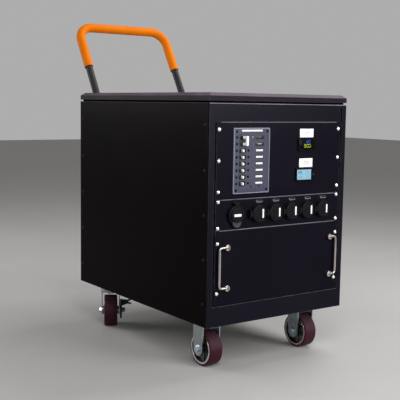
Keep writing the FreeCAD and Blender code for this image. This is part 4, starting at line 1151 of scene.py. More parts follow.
@dataclass
class PushHandle:
    """Bent black tube behind the lid, its orange foam sleeve and the clamps that hold it."""
    tube_radius: float = 12.7
    tilt: float = 31.0
    bend_radius: float = 150.0
    corner_radius: float = 58.0
    end_ease: float = 4.0
    end_round: float = 1.8
    lining_rise: float = 2.2
    lining_overlap: float = 0.4
    lining_width: float = 1.6
    lining_sunk: float = 0.6
    clamp_middle: float = 14.0
    bolt_offset: float = 20.0
    bolt_head: Place = (4.2, 2.6)
    sleeve_ease: float = 0.02
    tube: Extent = field(init=False)
    grip: Extent = field(init=False)

    def __post_init__(self) -> None:
        """Reads where the frame holds the tube and the sleeve."""
        self.tube = Extent.of("push_handle_tube")
        self.grip = Extent.of("push_handle_grip")

    def build(self) -> None:
        """Builds the tube, the sleeve and the clamps."""
        self.tube_piece()
        self.sleeve_piece()
        self.clamps()

    @property
    def sleeve_radius(self) -> float:
        """Outer radius of the sleeve, a hair less than the frame's."""
        return self.tube_radius + self.grip.hi[2] - self.tube.hi[2] - self.sleeve_ease

    def corners(self) -> list[np.ndarray]:
        """Corner points of the tube's middle line.

        The upper part leans back by the tilt, so its run in y is its rise times tan(tilt).

        Returns:
            The points, from the left foot to the right one.
        """
        radius = self.tube_radius
        half = self.tube.hi[0] - radius
        y_leg, z_foot = self.tube.lo[1] + radius, self.tube.lo[2]
        y_top, z_top = self.tube.hi[1] - radius, self.tube.hi[2] - radius
        z_bend = z_top - (y_top - y_leg) / math.tan(math.radians(self.tilt))
        left = [(-half, y_leg, z_foot), (-half, y_leg, z_bend), (-half, y_top, z_top)]
        right = [(-x, y, z) for x, y, z in reversed(left)]
        return [np.array(point, float) for point in left + right]

    def normals(self, path: np.ndarray) -> np.ndarray:
        """Unit vectors square to the handle's bent plane.

        On the bend a point rises by R sin(angle) over the bend's start, so angle = asin(rise / R), held
        between 0 and the tilt; the normal is (0, cos angle, -sin angle).

        Args:
            path: Points on the handle's middle line.

        Returns:
            The normal at each point.
        """
        tilt = math.radians(self.tilt)
        z_start = self.corners()[1][2] - self.bend_radius * math.tan(tilt / 2)
        lift = np.clip((path[:, 2] - z_start) / self.bend_radius, 0, math.sin(tilt))
        angle = np.arcsin(lift)
        return np.stack([np.zeros_like(angle), np.cos(angle), -np.sin(angle)], axis=-1)

    def tube_piece(self) -> None:
        """Black tube along the whole line."""
        radii = [self.bend_radius, self.corner_radius, self.corner_radius, self.bend_radius]
        path = rounded_path(self.corners(), radii)
        form = sweep(path, self.normals(path), np.full(len(path), self.tube_radius), sides=32)
        make("handle_tube", form, TUBE_BLACK, stands_for=("push_handle_tube",), bevel=0.6)

    def sleeve_piece(self) -> None:
        """Foam sleeve over the top bar and both corners, and its dark end linings.

        Within end_ease of an end the radius falls by end_round * (1 - sqrt(1 - s * s)), where s grows from
        0 to 1 at the end itself.
        """
        _, bend, top_left, top_right, _, _ = self.corners()
        reach = self.sleeve_radius
        along = (top_left - bend) / np.linalg.norm(top_left - bend)
        rise = self.grip.lo[2] + reach * math.sin(math.radians(self.tilt))
        start = top_left - along * (top_left[2] - rise) / along[2]
        mirror = np.array([-1.0, 1.0, 1.0])
        path = rounded_path([start, top_left, top_right, start * mirror], [self.corner_radius] * 2, 3.0)
        ease = np.linspace(0.3, self.end_ease, 5)[:, None]
        path = np.vstack([path[:1], path[0] + along * ease, path[1:-1],
                          (path[0] + along * ease[::-1]) * mirror, path[-1:]])
        steps = np.linalg.norm(np.diff(path, axis=0), axis=1)
        run = np.concatenate([[0.0], np.cumsum(steps)])
        to_end = np.minimum(run, run[-1] - run)
        short = np.clip(1 - to_end / self.end_ease, 0, 1)
        radii = reach - self.end_round * (1 - np.sqrt(1 - short ** 2))
        sleeve = make("handle_grip_foam", sweep(path, self.normals(path), radii, sides=40), ORANGE_FOAM,
                      stands_for=("push_handle_grip",), crease=60)
        ring = washer(self.tube_radius + self.lining_rise, self.tube_radius - self.lining_overlap,
                      self.lining_width).moved(w=-self.lining_sunk)
        down = [Axes.facing(np.array([x, *start[1:]]), -along, (0, along[2], -along[1]))
                for x in (start[0], -start[0])]
        make("handle_grip_lining", copies(ring, down), FOAM_LINING, stands_for=("push_handle_grip",))

    def clamps(self) -> None:
        """Four clamp blocks with two socket-head bolts each."""
        dress("handle_clamps", BLACK_PLASTIC, bevel=0.8)
        clamp = Extent.of("handle_clamps")
        heights = (clamp.lo[2] + self.clamp_middle, clamp.hi[2] - self.clamp_middle)
        legs = (self.tube.lo[0] + self.tube_radius, self.tube.hi[0] - self.tube_radius)
        places = [Axes.facing((leg + offset, clamp.hi[1] - 0.1, z), BACKWARD)
                  for leg in legs for z in heights for offset in (-self.bolt_offset, self.bolt_offset)]
        make("handle_clamp_bolts", copies(hex_socket_screw(*self.bolt_head), places), BLACK_OXIDE)


# ---------------------------------------------------------------- rack front
# Front plane of the frame, with v = 0 at the top of the rack opening.
RACK_FACE = Axes.facing((0.0, Extent.of("front_frame").lo[1], Extent.of("rack_rails").hi[2]), FRONTWARD)


def on_face(node: str, w: float | None = None) -> Axes:
    """Front-facing axes at the middle of a node's box.

    Args:
        node: The node.
        w: How far in front of the frame the axes stand; None puts them on the node's own front.

    Returns:
        The axes.
    """
    box = Extent.of(node)
    y = box.lo[1] if w is None else RACK_FACE.origin[1] - w
    return Axes.facing((box.centre[0], y, box.centre[2]), FRONTWARD)


@dataclass
class RackFront:
    """The three rack panels, the rails behind them and the screws through their ears."""
    edge: float = 0.35
    screw_radius: float = 5.8
    screw_height: float = 3.6
    screw_drops: tuple[float, ...] = (22.225, 111.125, 200.025, 228.6, 304.8, 349.25, 495.3)
    face_w: float = 1.0

    def build(self) -> None:
        """Dresses the panels and rails, and builds the bright dome screws."""
        for node in ("meter_panel", "outlet_panel", "battery_panel"):
            dress(node, PANEL_BLACK, bevel=self.edge)
        dress("rack_rails", SCREW_BLACK)
        column = Extent.of("rack_screws").hi[0] - self.screw_radius
        places = [RACK_FACE.shifted(u, -drop, self.face_w)
                  for u in (-column, column) for drop in self.screw_drops]
        heads = copies(dome_screw(self.screw_radius, self.screw_height), places)
        make("rack_screw_domes", heads, NICKEL, stands_for=("rack_screws",))


@dataclass
class BreakerPanel:
    """Moulded breaker plate: rim, field with eight windows, screws, lamps, labels and toggles."""
    thickness: float = 4.0
    corner: float = 2.5
    rim: float = 2.8
    sunk: float = 0.7
    under_rim: float = 0.2
    window: Place = (22.4, 13.4)
    pitch: float = 19.05
    rows: int = 8
    first_row: float = 27.45
    toggle_u: float = -34.5
    screw_reach: float = 21.25
    corner_reach: Place = (56.5, 85.0)
    low_screw_u: float = -2.4
    low_screw_drop: float = 9.0
    label_u: float = 28.0
    label: Place = (25.5, 5.4)
    label_ledge: float = 3.6
    label_face: float = 0.3
    number_height: float = 4.0
    number_line: Place = (6.0, 0.9)
    number_line_reach: float = 7.5
    title: Place = (76.0, 5.0)
    title_drop: float = 8.1
    oval: Place = (34.0, 11.0)
    lean: float = 15.0
    barrel: Place = (8.0, 9.0)
    barrel_ease: float = 0.6
    branch_reach: float = 17.0
    main_reach: float = 19.0
    plate: Axes = field(init=False)
    size: np.ndarray = field(init=False)

    def __post_init__(self) -> None:
        """Reads where the frame holds the plate."""
        self.plate = on_face("breaker_plate")
        self.size = Extent.of("breaker_plate").size

    def build(self) -> None:
        """Builds the plate, its marks and its toggles."""
        self.plate_pieces()
        self.screws()
        self.lamps()
        self.labels()
        self.row_marks()
        self.main_toggle()
        for row in self.branches:
            self.branch_toggle(row)

    @property
    def branches(self) -> range:
        """Rows of the branch switches; the two rows above them are the main switch's."""
        return range(2, self.rows)

    def row_v(self, row: int) -> float:
        """Height of a row above the plate's middle."""
        return self.size[2] / 2 - self.first_row - self.pitch * row

    def spots(self, across: tuple[float, ...], rows: range, w: float | None = None) -> list[Triple]:
        """Places in the given rows, at each u of across, on the sunk field or at w."""
        return [(u, self.row_v(row), -self.sunk if w is None else w) for row in rows for u in across]

    def plate_pieces(self) -> None:
        """Pale bevelled rim round a sunk field that is pierced for the breaker noses."""
        width, height = self.size[0], self.size[2]
        back, rim = -self.thickness, self.rim
        section = [(0, back), (0, -1.5), (0.4, -0.55), (1.1, 0), (rim - 0.6, 0), (rim, -self.sunk),
                   (rim, back)]
        make("breaker_plate_rim", border(width, height, self.corner, section).placed(self.plate),
             BREAKER_RIM, stands_for=("breaker_plate",), bevel=0.15)
        windows = [(self.toggle_u, self.row_v(row), *self.window) for row in range(self.rows)]
        inset = rim - self.under_rim
        sheet = windowed_sheet(width - 2 * inset, height - 2 * inset, windows, -self.sunk)
        make("breaker_plate_field", sheet.placed(self.plate), BREAKER_FACE,
             stands_for=("breaker_plate",), wall=self.thickness - self.sunk, bevel=0.2)
        dress("breaker_bodies", BLACK_PLASTIC, bevel=0.4)

    def screws(self) -> None:
        """Small black screws beside each breaker, in the corners and below the last row."""
        head = hex_socket_screw(3.1, 1.5) + washer(3.7, 2.5, 0.3)
        beside = (self.toggle_u - self.screw_reach, self.toggle_u + self.screw_reach)
        places = self.spots(beside, range(self.rows))
        places += [(u, v, -self.sunk) for u in (-self.corner_reach[0], self.corner_reach[0])
                   for v in (-self.corner_reach[1], self.corner_reach[1])]
        small = lathe([(2.4, 0), (2.4, 0.5), (1.9, 0.9), (0.9, 1.0), (0.8, 0.5)], 20)
        below = [(u, self.row_v(self.rows - 1) - self.low_screw_drop, -self.sunk)
                 for u in (self.low_screw_u, self.label_u)]
        form = head.repeated(places) + small.repeated(below)
        make("breaker_plate_screws", form.placed(self.plate), SCREW_BLACK, stands_for=("black_screws",))

    def lamps(self) -> None:
        """A lit lamp, a red lamp and a small unlit one for each branch row."""
        dome = lathe(arc((0, 0), 1.0, 0, 84), 20)
        for name, finish, radius, u, rows in (("lit", LAMP_GREEN, 2.6, 1.3, range(1)),
                                              ("red", LAMP_RED, 2.2, -1.6, range(1, 2)),
                                              ("unlit", LAMP_DARK, 1.7, -1.6, self.branches)):
            form = Form(dome.points * np.array([radius, radius, 0.6 * radius]), dome.blocks)
            make(f"breaker_lamps_{name}", form.repeated(self.spots((u,), rows)).placed(self.plate), finish)

    def labels(self) -> None:
        """Bare title strip, and a framed white label with a number between two lines for each branch."""
        strip = soft_slab(*self.title, 0.8, 0, self.label_face, 0.1)
        form = strip.moved(0, self.size[2] / 2 - self.title_drop, -self.sunk)
        make("breaker_title_strip", form.placed(self.plate), LABEL_WHITE, bevel=0.05)
        plate = soft_slab(*self.label, 0.8, 0, self.label_face, 0.1)
        edge = border(self.label[0] + self.label_ledge, self.label[1] + self.label_ledge, 1.6,
                      [(0, 0), (0.2, 0.4), (1.6, 0.4), (1.8, 0)])
        spots = self.spots((self.label_u,), self.branches)
        make("breaker_label_frames", edge.repeated(spots).placed(self.plate), BLACK_PLASTIC)
        make("breaker_row_labels", plate.repeated(spots).placed(self.plate), LABEL_WHITE, bevel=0.05)
        face = self.label_face - self.sunk
        numbers = [printed_number(str(row - 1), self.number_height, face)
                   .moved(self.label_u, self.row_v(row)) for row in self.branches]
        lines = soft_slab(*self.number_line, 0.3, 0, 0.08, 0.02)
        beside = (self.label_u - self.number_line_reach, self.label_u + self.number_line_reach)
        lines = lines.repeated(self.spots(beside, self.branches, face))
        make("breaker_row_numbers", (together(numbers) + lines).placed(self.plate), INK)

    def row_marks(self) -> None:
        """Dark ovals beside the two main rows, one with a wave and one with a plain bar."""
        oval = soft_slab(*self.oval, self.oval[1] / 2, 0, 0.5, 0.25)
        ovals = oval.repeated(self.spots((self.label_u,), range(2)))
        make("breaker_main_marks", ovals.placed(self.plate), BLACK_PLASTIC)
        wave = wave_sign(reach=4.2, swing=2.2, radius=0.5)
        wave = wave.moved(self.label_u, self.row_v(0), 0.55 - self.sunk)
        bar = soft_slab(15.0, 3.2, 0.8, 0, 0.15, 0.05).moved(self.label_u, self.row_v(1), 0.5 - self.sunk)
        make("breaker_main_symbols", (wave + bar).placed(self.plate), GREY_INK)

    def toggle_axes(self, body: str, row: int, degrees: float) -> tuple[Axes, Axes]:
        """Where a toggle's lever and barrel stand.

        Args:
            body: The toggle's body.
            row: Its row.
            degrees: How far the lever leans.

        Returns:
            Axes of the lever, with w along it, and of the barrel, with w along the pivot line.
        """
        pivot = pivot_of(body)
        centre = np.array([pivot[0], pivot[1], self.plate.origin[2] + self.row_v(row)])
        return Axes.facing(centre, FRONTWARD).leaned(degrees), Axes.upright(centre)

    def barrel_form(self) -> Form:
        """Short drum with eased rims."""
        radius, half, ease = self.barrel[0], self.barrel[1] / 2, self.barrel_ease
        return lathe([(radius - ease, -half), (radius, ease - half), (radius, half - ease),
                      (radius - ease, half)], 48)

    def lever_form(self, length: float) -> Form:
        """Paddle that narrows slightly from the drum and ends in a rounded tip."""
        return slab(7.4, 9.0, 2.0, [(0, 5), (0.2, 9), (0.9, length - 3), (1.2, length - 1.2),
                                    (1.7, length - 0.4), (2.4, length)])

    def branch_toggle(self, row: int) -> None:
        """Black drum and white lever of one branch switch.

        Args:
            row: Its row.
        """
        body, node = f"branch_switch_{row - 1}", f"branch_toggle_{row - 1}"
        lever, drum = self.toggle_axes(body, row, -self.lean)
        make(f"{node}_drum", self.barrel_form().placed(drum), BLACK_PLASTIC, body, (node,))
        paddle = self.lever_form(self.branch_reach)
        make(f"{node}_lever", paddle.placed(lever), WHITE_LEVER, body, (node,), bevel=0.2)

    def main_toggle(self) -> None:
        """Two drums and two levers under one tie bar."""
        drums, levers = [], []
        for row in range(2):
            lever, drum = self.toggle_axes("main_switch", row, self.lean)
            drums.append(self.barrel_form().placed(drum))
            levers.append(self.lever_form(self.main_reach).placed(lever))
        tie = soft_slab(9.0, self.pitch + 9.0, 2.0, self.main_reach - 1.0, self.main_reach + 3.9, 1.0)
        middle = self.toggle_axes("main_switch", 0, self.lean)[0].shifted(v=-self.pitch / 2)
        make("main_toggle_drums", together(drums), BLACK_PLASTIC, "main_switch", ("main_toggle",))
        make("main_toggle_levers", together([*levers, tie.placed(middle)]), WHITE_LEVER, "main_switch",
             ("main_toggle",), bevel=0.2)


@dataclass
class Meters:
    """Supply meter, battery monitor with its key, and the white plates above them."""
    supply_window: Place = (61.0, 30.5)
    screen: Place = (57.5, 31.0)
    screen_u: float = -4.25
    screen_w: float = 5.5
    window_sunk: float = 1.0
    window_ease: float = 0.4
    blue_digits: Place = (2.5, 8.2)
    green_digits: Place = (2.0, -4.0)
    ink_back: float = 0.35
    cell: Place = (-16.5, 7.5)
    first_bar: float = -21.6
    bar_pitch: float = 3.5
    plate_places: tuple[Place, Place] = ((99.5, -34.6), (99.0, -125.0))
    plate_sizes: tuple[Place, Place] = ((55.0, 26.2), (54.0, 27.0))
    plate_face: float = 1.5

    def build(self) -> None:
        """Dresses both meters and adds what shows in their windows."""
        dress("ac_meter", GLOSS_BLACK, bevel=0.3)
        dress("battery_monitor", GLOSS_BLACK, bevel=0.3)
        self.supply_display()
        self.battery_display()
        self.key()
        self.label_plates()

    def supply_display(self) -> None:
        """Smoked pane with a blue number over a yellow-green one."""
        face = on_face("ac_meter").shifted(w=-self.window_sunk)
        make("supply_meter_pane", self.pane(self.supply_window, 0.3).placed(face), SMOKED_WINDOW)
        blue = segment_digits("120", 7.8, 0.3, breadth=0.80).moved(*self.blue_digits)
        make("supply_meter_blue_digits", blue.placed(face), BLUE_DIGITS)
        green = segment_digits("300", 9.0, 0.3, breadth=0.84).moved(*self.green_digits)
        make("supply_meter_green_digits", green.placed(face), GREEN_DIGITS)

    def pane(self, window: Place, thickness: float) -> Form:
        """Pane that fills a window with a little play."""
        width, height = window[0] - self.window_ease, window[1] - self.window_ease
        return soft_slab(width, height, 0.6, 0, thickness, 0.1)

    def battery_display(self) -> None:
        """Lit face with a battery sign, its level bars, three numbers and a line between them."""
        face = on_face("battery_monitor", self.screen_w).shifted(u=self.screen_u, w=-self.window_sunk)
        back, front = self.ink_back, self.ink_back + 0.15
        make("battery_monitor_screen", self.pane(self.screen, back).placed(face), LCD_FACE)
        cell = cell_sign(radius=0.6, line=0.9, low=back, high=front).moved(*self.cell)
        spots = [(self.first_bar + self.bar_pitch * k, self.cell[1], 0) for k in range(4)]
        bars = soft_slab(2.6, 5.6, 0.2, back, front, 0.05).repeated(spots)
        numbers = together([segment_digits(text, height, back).moved(u, v) for text, height, u, v in (
            ("100", 8.0, 9.5, 7.2), ("26.4", 6.6, -13, -6.6), ("12.0", 6.6, 13, -6.6))])
        line = soft_slab(50.0, 0.5, 0.1, back, back + 0.1, 0.02).moved(0, 0.6)
        make("battery_monitor_segments", (cell + bars + numbers + line).placed(face), LCD_INK)

    def key(self) -> None:
        """Round key with a shallow dish in its face."""
        box = Extent.of("monitor_button")
        radius, length = box.size[0] / 2, box.size[1]
        profile = [(radius, -length), (radius, -0.7), (radius - 0.25, -0.2), (radius - 0.7, 0),
                   (radius - 1.1, -0.05), (0.5 * radius, -0.3), (0.1, -0.35)]
        make("battery_monitor_key", lathe(profile, 32).placed(on_face("monitor_button")), BLACK_PLASTIC,
             "monitor_key", ("monitor_button",))

    def label_plates(self) -> None:
        """White plates with one generic sign each: a wave for supply and a cell for battery."""
        face = self.plate_face
        plates = [soft_slab(*size, 1.0, face - 0.5, face, 0.15).moved(*place)
                  for place, size in zip(self.plate_places, self.plate_sizes)]
        make("meter_label_plates", together(plates).placed(RACK_FACE), LABEL_WHITE, bevel=0.08)
        wave = wave_sign(reach=8.0, swing=2.6, radius=0.55).moved(*self.plate_places[0], face)
        low, high = face - 0.05, face + 0.1
        knob = soft_slab(1.8, 4.0, 0.3, low, high, 0.05).moved(9.6)
        cell = cell_sign(radius=0.8, line=1.1, low=low, high=high) + knob
        cell = cell.moved(*self.plate_places[1])
        make("meter_label_signs", (wave + cell).placed(RACK_FACE), INK)


@dataclass
class Sockets:
    """Power inlet and five outlets with hinged round lids, and the marker strips above the outlets."""
    outlets: int = 5
    outlet_radius: float = 26.0
    outlet_top: float = 14.5
    outlet_hinge: float = 32.0
    inlet_radius: float = 28.0
    inlet_top: float = 15.2
    inlet_hinge: float = 33.5
    lid_back: float = 5.4
    lid_wall: float = 2.5
    lid_under: float = 11.5
    hinge_w: float = 10.0
    knuckle: float = 2.8
    lip_angle: float = -50.0
    lip_reach: float = 0.985
    outlet_bar: Place = (5.6, 26.0)
    bar_offset: float = 12.0
    inlet_bar: Place = (25.5, 7.4)
    boss_radius: float = 22.0
    boss_under: float = 12.7
    flange: float = 11.0
    tab_radius: float = 16.0
    tab_back: float = 6.0
    tab_top: float = 12.5
    tab_offset: float = 20.0
    strip: Place = (27.0, 8.5)
    strip_face: float = 1.5
    strip_offset: Place = (7.0, 35.2)

    def build(self) -> None:
        """Dresses the bodies, and builds the lids and the marker strips."""
        dress("inlet_body", SOCKET_BLACK, bevel=0.35)
        dress("outlet_bodies", SOCKET_BLACK, bevel=0.35)
        self.inlet_lid()
        for number in range(1, self.outlets + 1):
            self.outlet_lid(number)
        self.marker_strips()

    def arm_form(self, width: float, height: float) -> Form:
        """Hinge arm: a small plate over the hinge line with an eased front."""
        low = self.hinge_w
        return slab(width, height, 1.0, [(0, low), (0, low + 2.2), (0.5, low + 2.7)])

    def knuckle_form(self, half: float) -> Form:
        """Hinge knuckle: a plain drum about the hinge line."""
        return lathe([(self.knuckle, -half), (self.knuckle, half)], 28)

    def bar_form(self, size: Place, top: float) -> Form:
        """White bar let into a lid's face."""
        return soft_slab(*size, 0.8, top - 0.15, top + 0.25, 0.1)

    def outlet_form(self) -> Form:
        """Round lid as one lathe profile: hollow, rim, side, eased edge, groove and crowned face.

        Returns:
            The lid, with w counted from the frame's front plane.
        """
        radius, top, back = self.outlet_radius, self.outlet_top, self.lid_back
        inner, under = radius - self.lid_wall, self.lid_under
        return lathe([(0.2, under), (inner - 1, under), (inner, under - 1), (inner, back),
                      (radius - 0.4, back), (radius, back + 0.4), (radius, top - 2.4),
                      (radius - 0.5, top - 1.1), (radius - 1.5, top - 0.35), (radius - 2.6, top - 0.15),
                      (radius - 3.6, top - 0.2), (radius - 4.0, top - 0.75), (radius - 4.8, top - 0.75),
                      (radius - 5.2, top - 0.25), (0.5 * radius, top - 0.08), (0.2, top)], 64)

    def inlet_form(self) -> Form:
        """Round lid with a raised boss: hollow, rim, side, flange, boss, groove and crowned face.

        Returns:
            The lid, with w counted from the frame's front plane.
        """
        radius, boss, top, back = self.inlet_radius, self.boss_radius, self.inlet_top, self.lid_back
        inner, under, flange = boss - self.lid_wall, self.boss_under, self.flange
        return lathe([(0.2, under), (inner, under), (inner, back), (radius - 0.4, back),
                      (radius, back + 0.4), (radius, flange - 1.4), (radius - 0.4, flange - 0.4),
                      (radius - 1.4, flange), (boss + 1.6, flange), (boss + 1.0, flange - 0.6),
                      (boss + 0.1, flange - 0.4), (boss, flange + 0.2), (boss, top - 1.6),
                      (boss - 0.6, top - 0.5), (boss - 1.8, top),
                      (boss - 3.4, top - 0.05), (boss - 3.8, top - 0.7), (boss - 4.8, top - 0.7),
                      (boss - 5.2, top - 0.1), (0.4 * boss, top - 0.05), (0.2, top)], 64)

    def tab_form(self) -> Form:
        """Round thumb tab with a lipped edge and a dished face."""
        reach, back, top = self.tab_radius, self.tab_back, self.tab_top
        return lathe([(reach - 1, back), (reach, back + 0.8), (reach, top - 1.2), (reach - 0.6, top - 0.3),
                      (reach - 1.6, top), (reach - 2.4, top - 0.4), (reach - 5, top - 0.6),
                      (0.2, top - 0.6)], 56)

    def outlet_centre(self, number: int) -> Axes:
        """Where an outlet stands.

        Args:
            number: Its number, from the left.

        Returns:
            Axes at its middle, on the frame's front plane.
        """
        pivot = pivot_of(f"outlet_lid_{number}")
        z = Extent.of("outlet_bodies").centre[2]
        return Axes.facing((pivot[0] + self.outlet_hinge, RACK_FACE.origin[1], z), FRONTWARD)

    def outlet_lid(self, number: int) -> None:
        """One outlet's lid with its hinge arm, knuckle and lifting lip, and the white bar on it.

        Args:
            number: The outlet's number, from the left.
        """
        centre, body, node = self.outlet_centre(number), f"outlet_lid_{number}", f"outlet_cap_{number}"
        arm = self.arm_form(9.4, 15.0).moved(3.5 - self.outlet_hinge)
        angle, reach = math.radians(self.lip_angle), self.outlet_radius * self.lip_reach
        lip = lathe([(4.4, 8.5), (5.0, 9.1), (5.0, 11.4), (4.4, 12.0)], 32)
        lip = lip.moved(reach * math.cos(angle), reach * math.sin(angle))
        hinge = centre.shifted(u=-self.outlet_hinge, w=self.hinge_w)
        knuckle = self.knuckle_form(7.5).placed(Axes.upright(hinge.origin))
        lid = (self.outlet_form() + arm + lip).placed(centre) + knuckle
        make(node + "_lid", lid, SOCKET_BLACK, body, (node,), bevel=0.2)
        bar = self.bar_form(self.outlet_bar, self.outlet_top).moved(self.bar_offset)
        make(node + "_bar", bar.placed(centre), LABEL_WHITE, body)

    def inlet_lid(self) -> None:
        """The inlet's lid with its arm and knuckle above, its thumb tab below, and its white bar."""
        pivot = pivot_of("inlet_lid")
        centre = Axes.facing((pivot[0], RACK_FACE.origin[1], pivot[2] - self.inlet_hinge), FRONTWARD)
        arm = self.arm_form(11.0, 12.0).moved(v=self.inlet_hinge - 4.6)
        hinge = centre.shifted(v=self.inlet_hinge, w=self.hinge_w)
        knuckle = self.knuckle_form(5.5).placed(Axes.facing(hinge.origin, (1, 0, 0)))
        lid = (self.inlet_form() + arm).placed(centre) + knuckle
        make("inlet_cap_lid", lid, SOCKET_BLACK, "inlet_lid", ("inlet_cap",), bevel=0.2)
        tab = self.tab_form().moved(v=-self.tab_offset)
        make("inlet_cap_tab", tab.placed(centre), TAB_GREY, "inlet_lid", ("inlet_cap",))
        bar = self.bar_form(self.inlet_bar, self.inlet_top)
        make("inlet_cap_bar", bar.placed(centre), LABEL_WHITE, "inlet_lid")

    def marker_strips(self) -> None:
        """Small dark strip above each outlet, with a pale turned-up edge along its foot and ends."""
        (width, height), face = self.strip, self.strip_face
        low, high = face - 0.1, face + 0.3
        strip = soft_slab(width, height, 2.5, face - 0.5, face, 0.2)
        foot = soft_slab(0.74 * width, 0.26 * height, 0.8, low, high, 0.1)
        foot = foot.moved(0.04 * width, -0.30 * height)
        ends = [soft_slab(0.08 * width, tall * height, 0.6, low, high, 0.1).moved(u * width, v * height)
                for u, v, tall in ((-0.36, 0.02, 0.70), (0.40, -0.12, 0.45))]
        edge = together([foot, *ends])
        places = [self.outlet_centre(number).shifted(*self.strip_offset)
                  for number in range(1, self.outlets + 1)]
        make("outlet_marker_strips", copies(strip, places), MARKER_DARK, bevel=0.1)
        make("outlet_marker_edges", copies(edge, places), MARKER_EDGE)


@dataclass
class PullHandles:
    """Two folding wire handles on the battery panel and the posts that carry them."""
    arm_radius: float = 3.6
    bar_radius: float = 4.2
    swell: float = 6.0
    corner: float = 9.0
    knuckle: Place = (4.4, 4.0)
    knuckle_ease: float = 0.4
    pin_reach: float = 7.6

    def build(self) -> None:
        """Dresses the posts and builds both handles."""
        dress("pull_handle_posts", SATIN_CHROME, bevel=0.5)
        for side in Side:
            self.handle(side)

    def handle(self, side: Side) -> None:
        """One wire handle, swept along its rounded line, with its knuckles.

        The wire grows from the arms' radius to the grip's over the first `swell` of the straight grip.

        Args:
            side: The handle's side.
        """
        node, body = f"{side.word}_pull_handle", f"{side.word}_handle"
        box, pivot = Extent.of(node), pivot_of(body)
        outer = box.lo[0] + self.bar_radius if side is Side.LEFT else box.hi[0] - self.bar_radius
        top, bottom = box.hi[2] - self.pin_reach, box.lo[2] + self.pin_reach
        corners = [np.array([x, pivot[1], z])
                   for x, z in ((pivot[0], top), (outer, top), (outer, bottom), (pivot[0], bottom))]
        path = rounded_path(corners, [self.corner] * 2, 1.5)
        end = (top - bottom) / 2 - self.corner
        off = np.abs(path[:, 2] - (top + bottom) / 2)
        share = np.clip((end - off) / self.swell, 0, 1) * (np.abs(path[:, 0] - outer) < 0.01)
        radii = self.arm_radius + (self.bar_radius - self.arm_radius) * share
        bar = sweep(path, np.tile([0.0, -1.0, 0.0], (len(path), 1)), radii, 28)
        (radius, half), ease = self.knuckle, self.knuckle_ease
        eye = lathe([(radius - ease, -half), (radius, ease - half), (radius, half - ease),
                     (radius - ease, half)], 32)
        eyes = copies(eye, [Axes.upright((pivot[0], pivot[1], z)) for z in (top, bottom)])
        make(f"{node}_wire", bar + eyes, SATIN_CHROME, body, (node,), crease=50)


# ---------------------------------------------------------------- casters
@dataclass
class Wheel:
    """One wheel: cast centre with a turned rim edge, and a maroon tread with clean side walls."""
    place: str
    wheel_radius: float = 54.0
    rim_radius: float = 47.0
    half_width: float = 23.0
    shoulder: float = 4.5
    web: Place = (15.0, 41.0)
    web_half: float = 7.0
    rib_count: int = 6
    rib_width: float = 6.0

    @property
    def body(self) -> str:
        """Name of the wheel's body."""
        return f"{self.place}_wheel"

    def axes(self) -> list[Axes]:
        """Where the wheel stands.

        Returns:
            Axes at its middle, looking along the axle both ways.
        """
        along = np.array(joint_of(self.body)["axis"], float)
        along /= np.linalg.norm(along)
        return [Axes.facing(pivot_of(self.body), way) for way in (along, -along)]

    def build(self) -> None:
        """Builds the core, the rim edges, the ribs, the tread and its side walls."""
        core, tread = f"{self.place}_wheel_core", f"{self.place}_tread"
        sides, rim, half = self.axes(), self.rim_radius, self.half_width
        dress(core, CAST_CORE, self.body, bevel=1.0)
        edge = lathe([(rim - 4.6, half - 1.4), (rim - 3.8, half + 0.15), (rim - 0.5, half + 0.3),
                      (rim, half - 0.4), (rim, half - 1.4)], 96, closed=True)
        make(f"{core}_edges", copies(edge, sides), RIM_METAL, self.body)
        spokes = [axes.rolled(360 / self.rib_count * (k + 0.5)) for axes in sides
                  for k in range(self.rib_count)]
        make(f"{core}_ribs", copies(self.rib_form(), spokes), CAST_CORE, self.body, bevel=0.4)
        make(f"{tread}_band", self.tread_form().placed(sides[0]), TREAD, self.body, (tread,), crease=50)
        wall = lathe([(rim + 0.1, half - 1.0), (rim + 0.1, half + 0.05), (rim + 3.2, half + 0.1),
                      (rim + 4.6, half - 0.62), (rim + 4.4, half - 1.2)], 96, closed=True)
        make(f"{tread}_walls", copies(wall, sides), TREAD_SIDE, self.body, (tread,), crease=50)

    def rib_form(self) -> Form:
        """Raised spoke on one side of the web, along u, between two of its holes."""
        (inner, outer), low = self.web, self.web_half
        rib = slab(outer - inner, self.rib_width, 1.5, [(0, low - 0.5), (0.4, low + 4), (1.6, low + 5)])
        return rib.moved((inner + outer) / 2)

    def tread_form(self) -> Form:
        """Tyre profile: side wall, quarter-circle shoulder, flat face, and back again inside the rim.

        Returns:
            The tread, with w along the axle.
        """
        half, top, bore, shoulder = self.half_width, self.wheel_radius, self.rim_radius, self.shoulder
        right = [(top - shoulder + shoulder * math.sin(a), half - shoulder + shoulder * math.cos(a))
                 for a in np.linspace(0, QUARTER_TURN, 8)]
        left = [(r, -w) for r, w in reversed(right)]
        return lathe([(bore, -half), (bore, half), *right, (top, 0.4 * half), (top, -0.4 * half), *left],
                     120, closed=True)


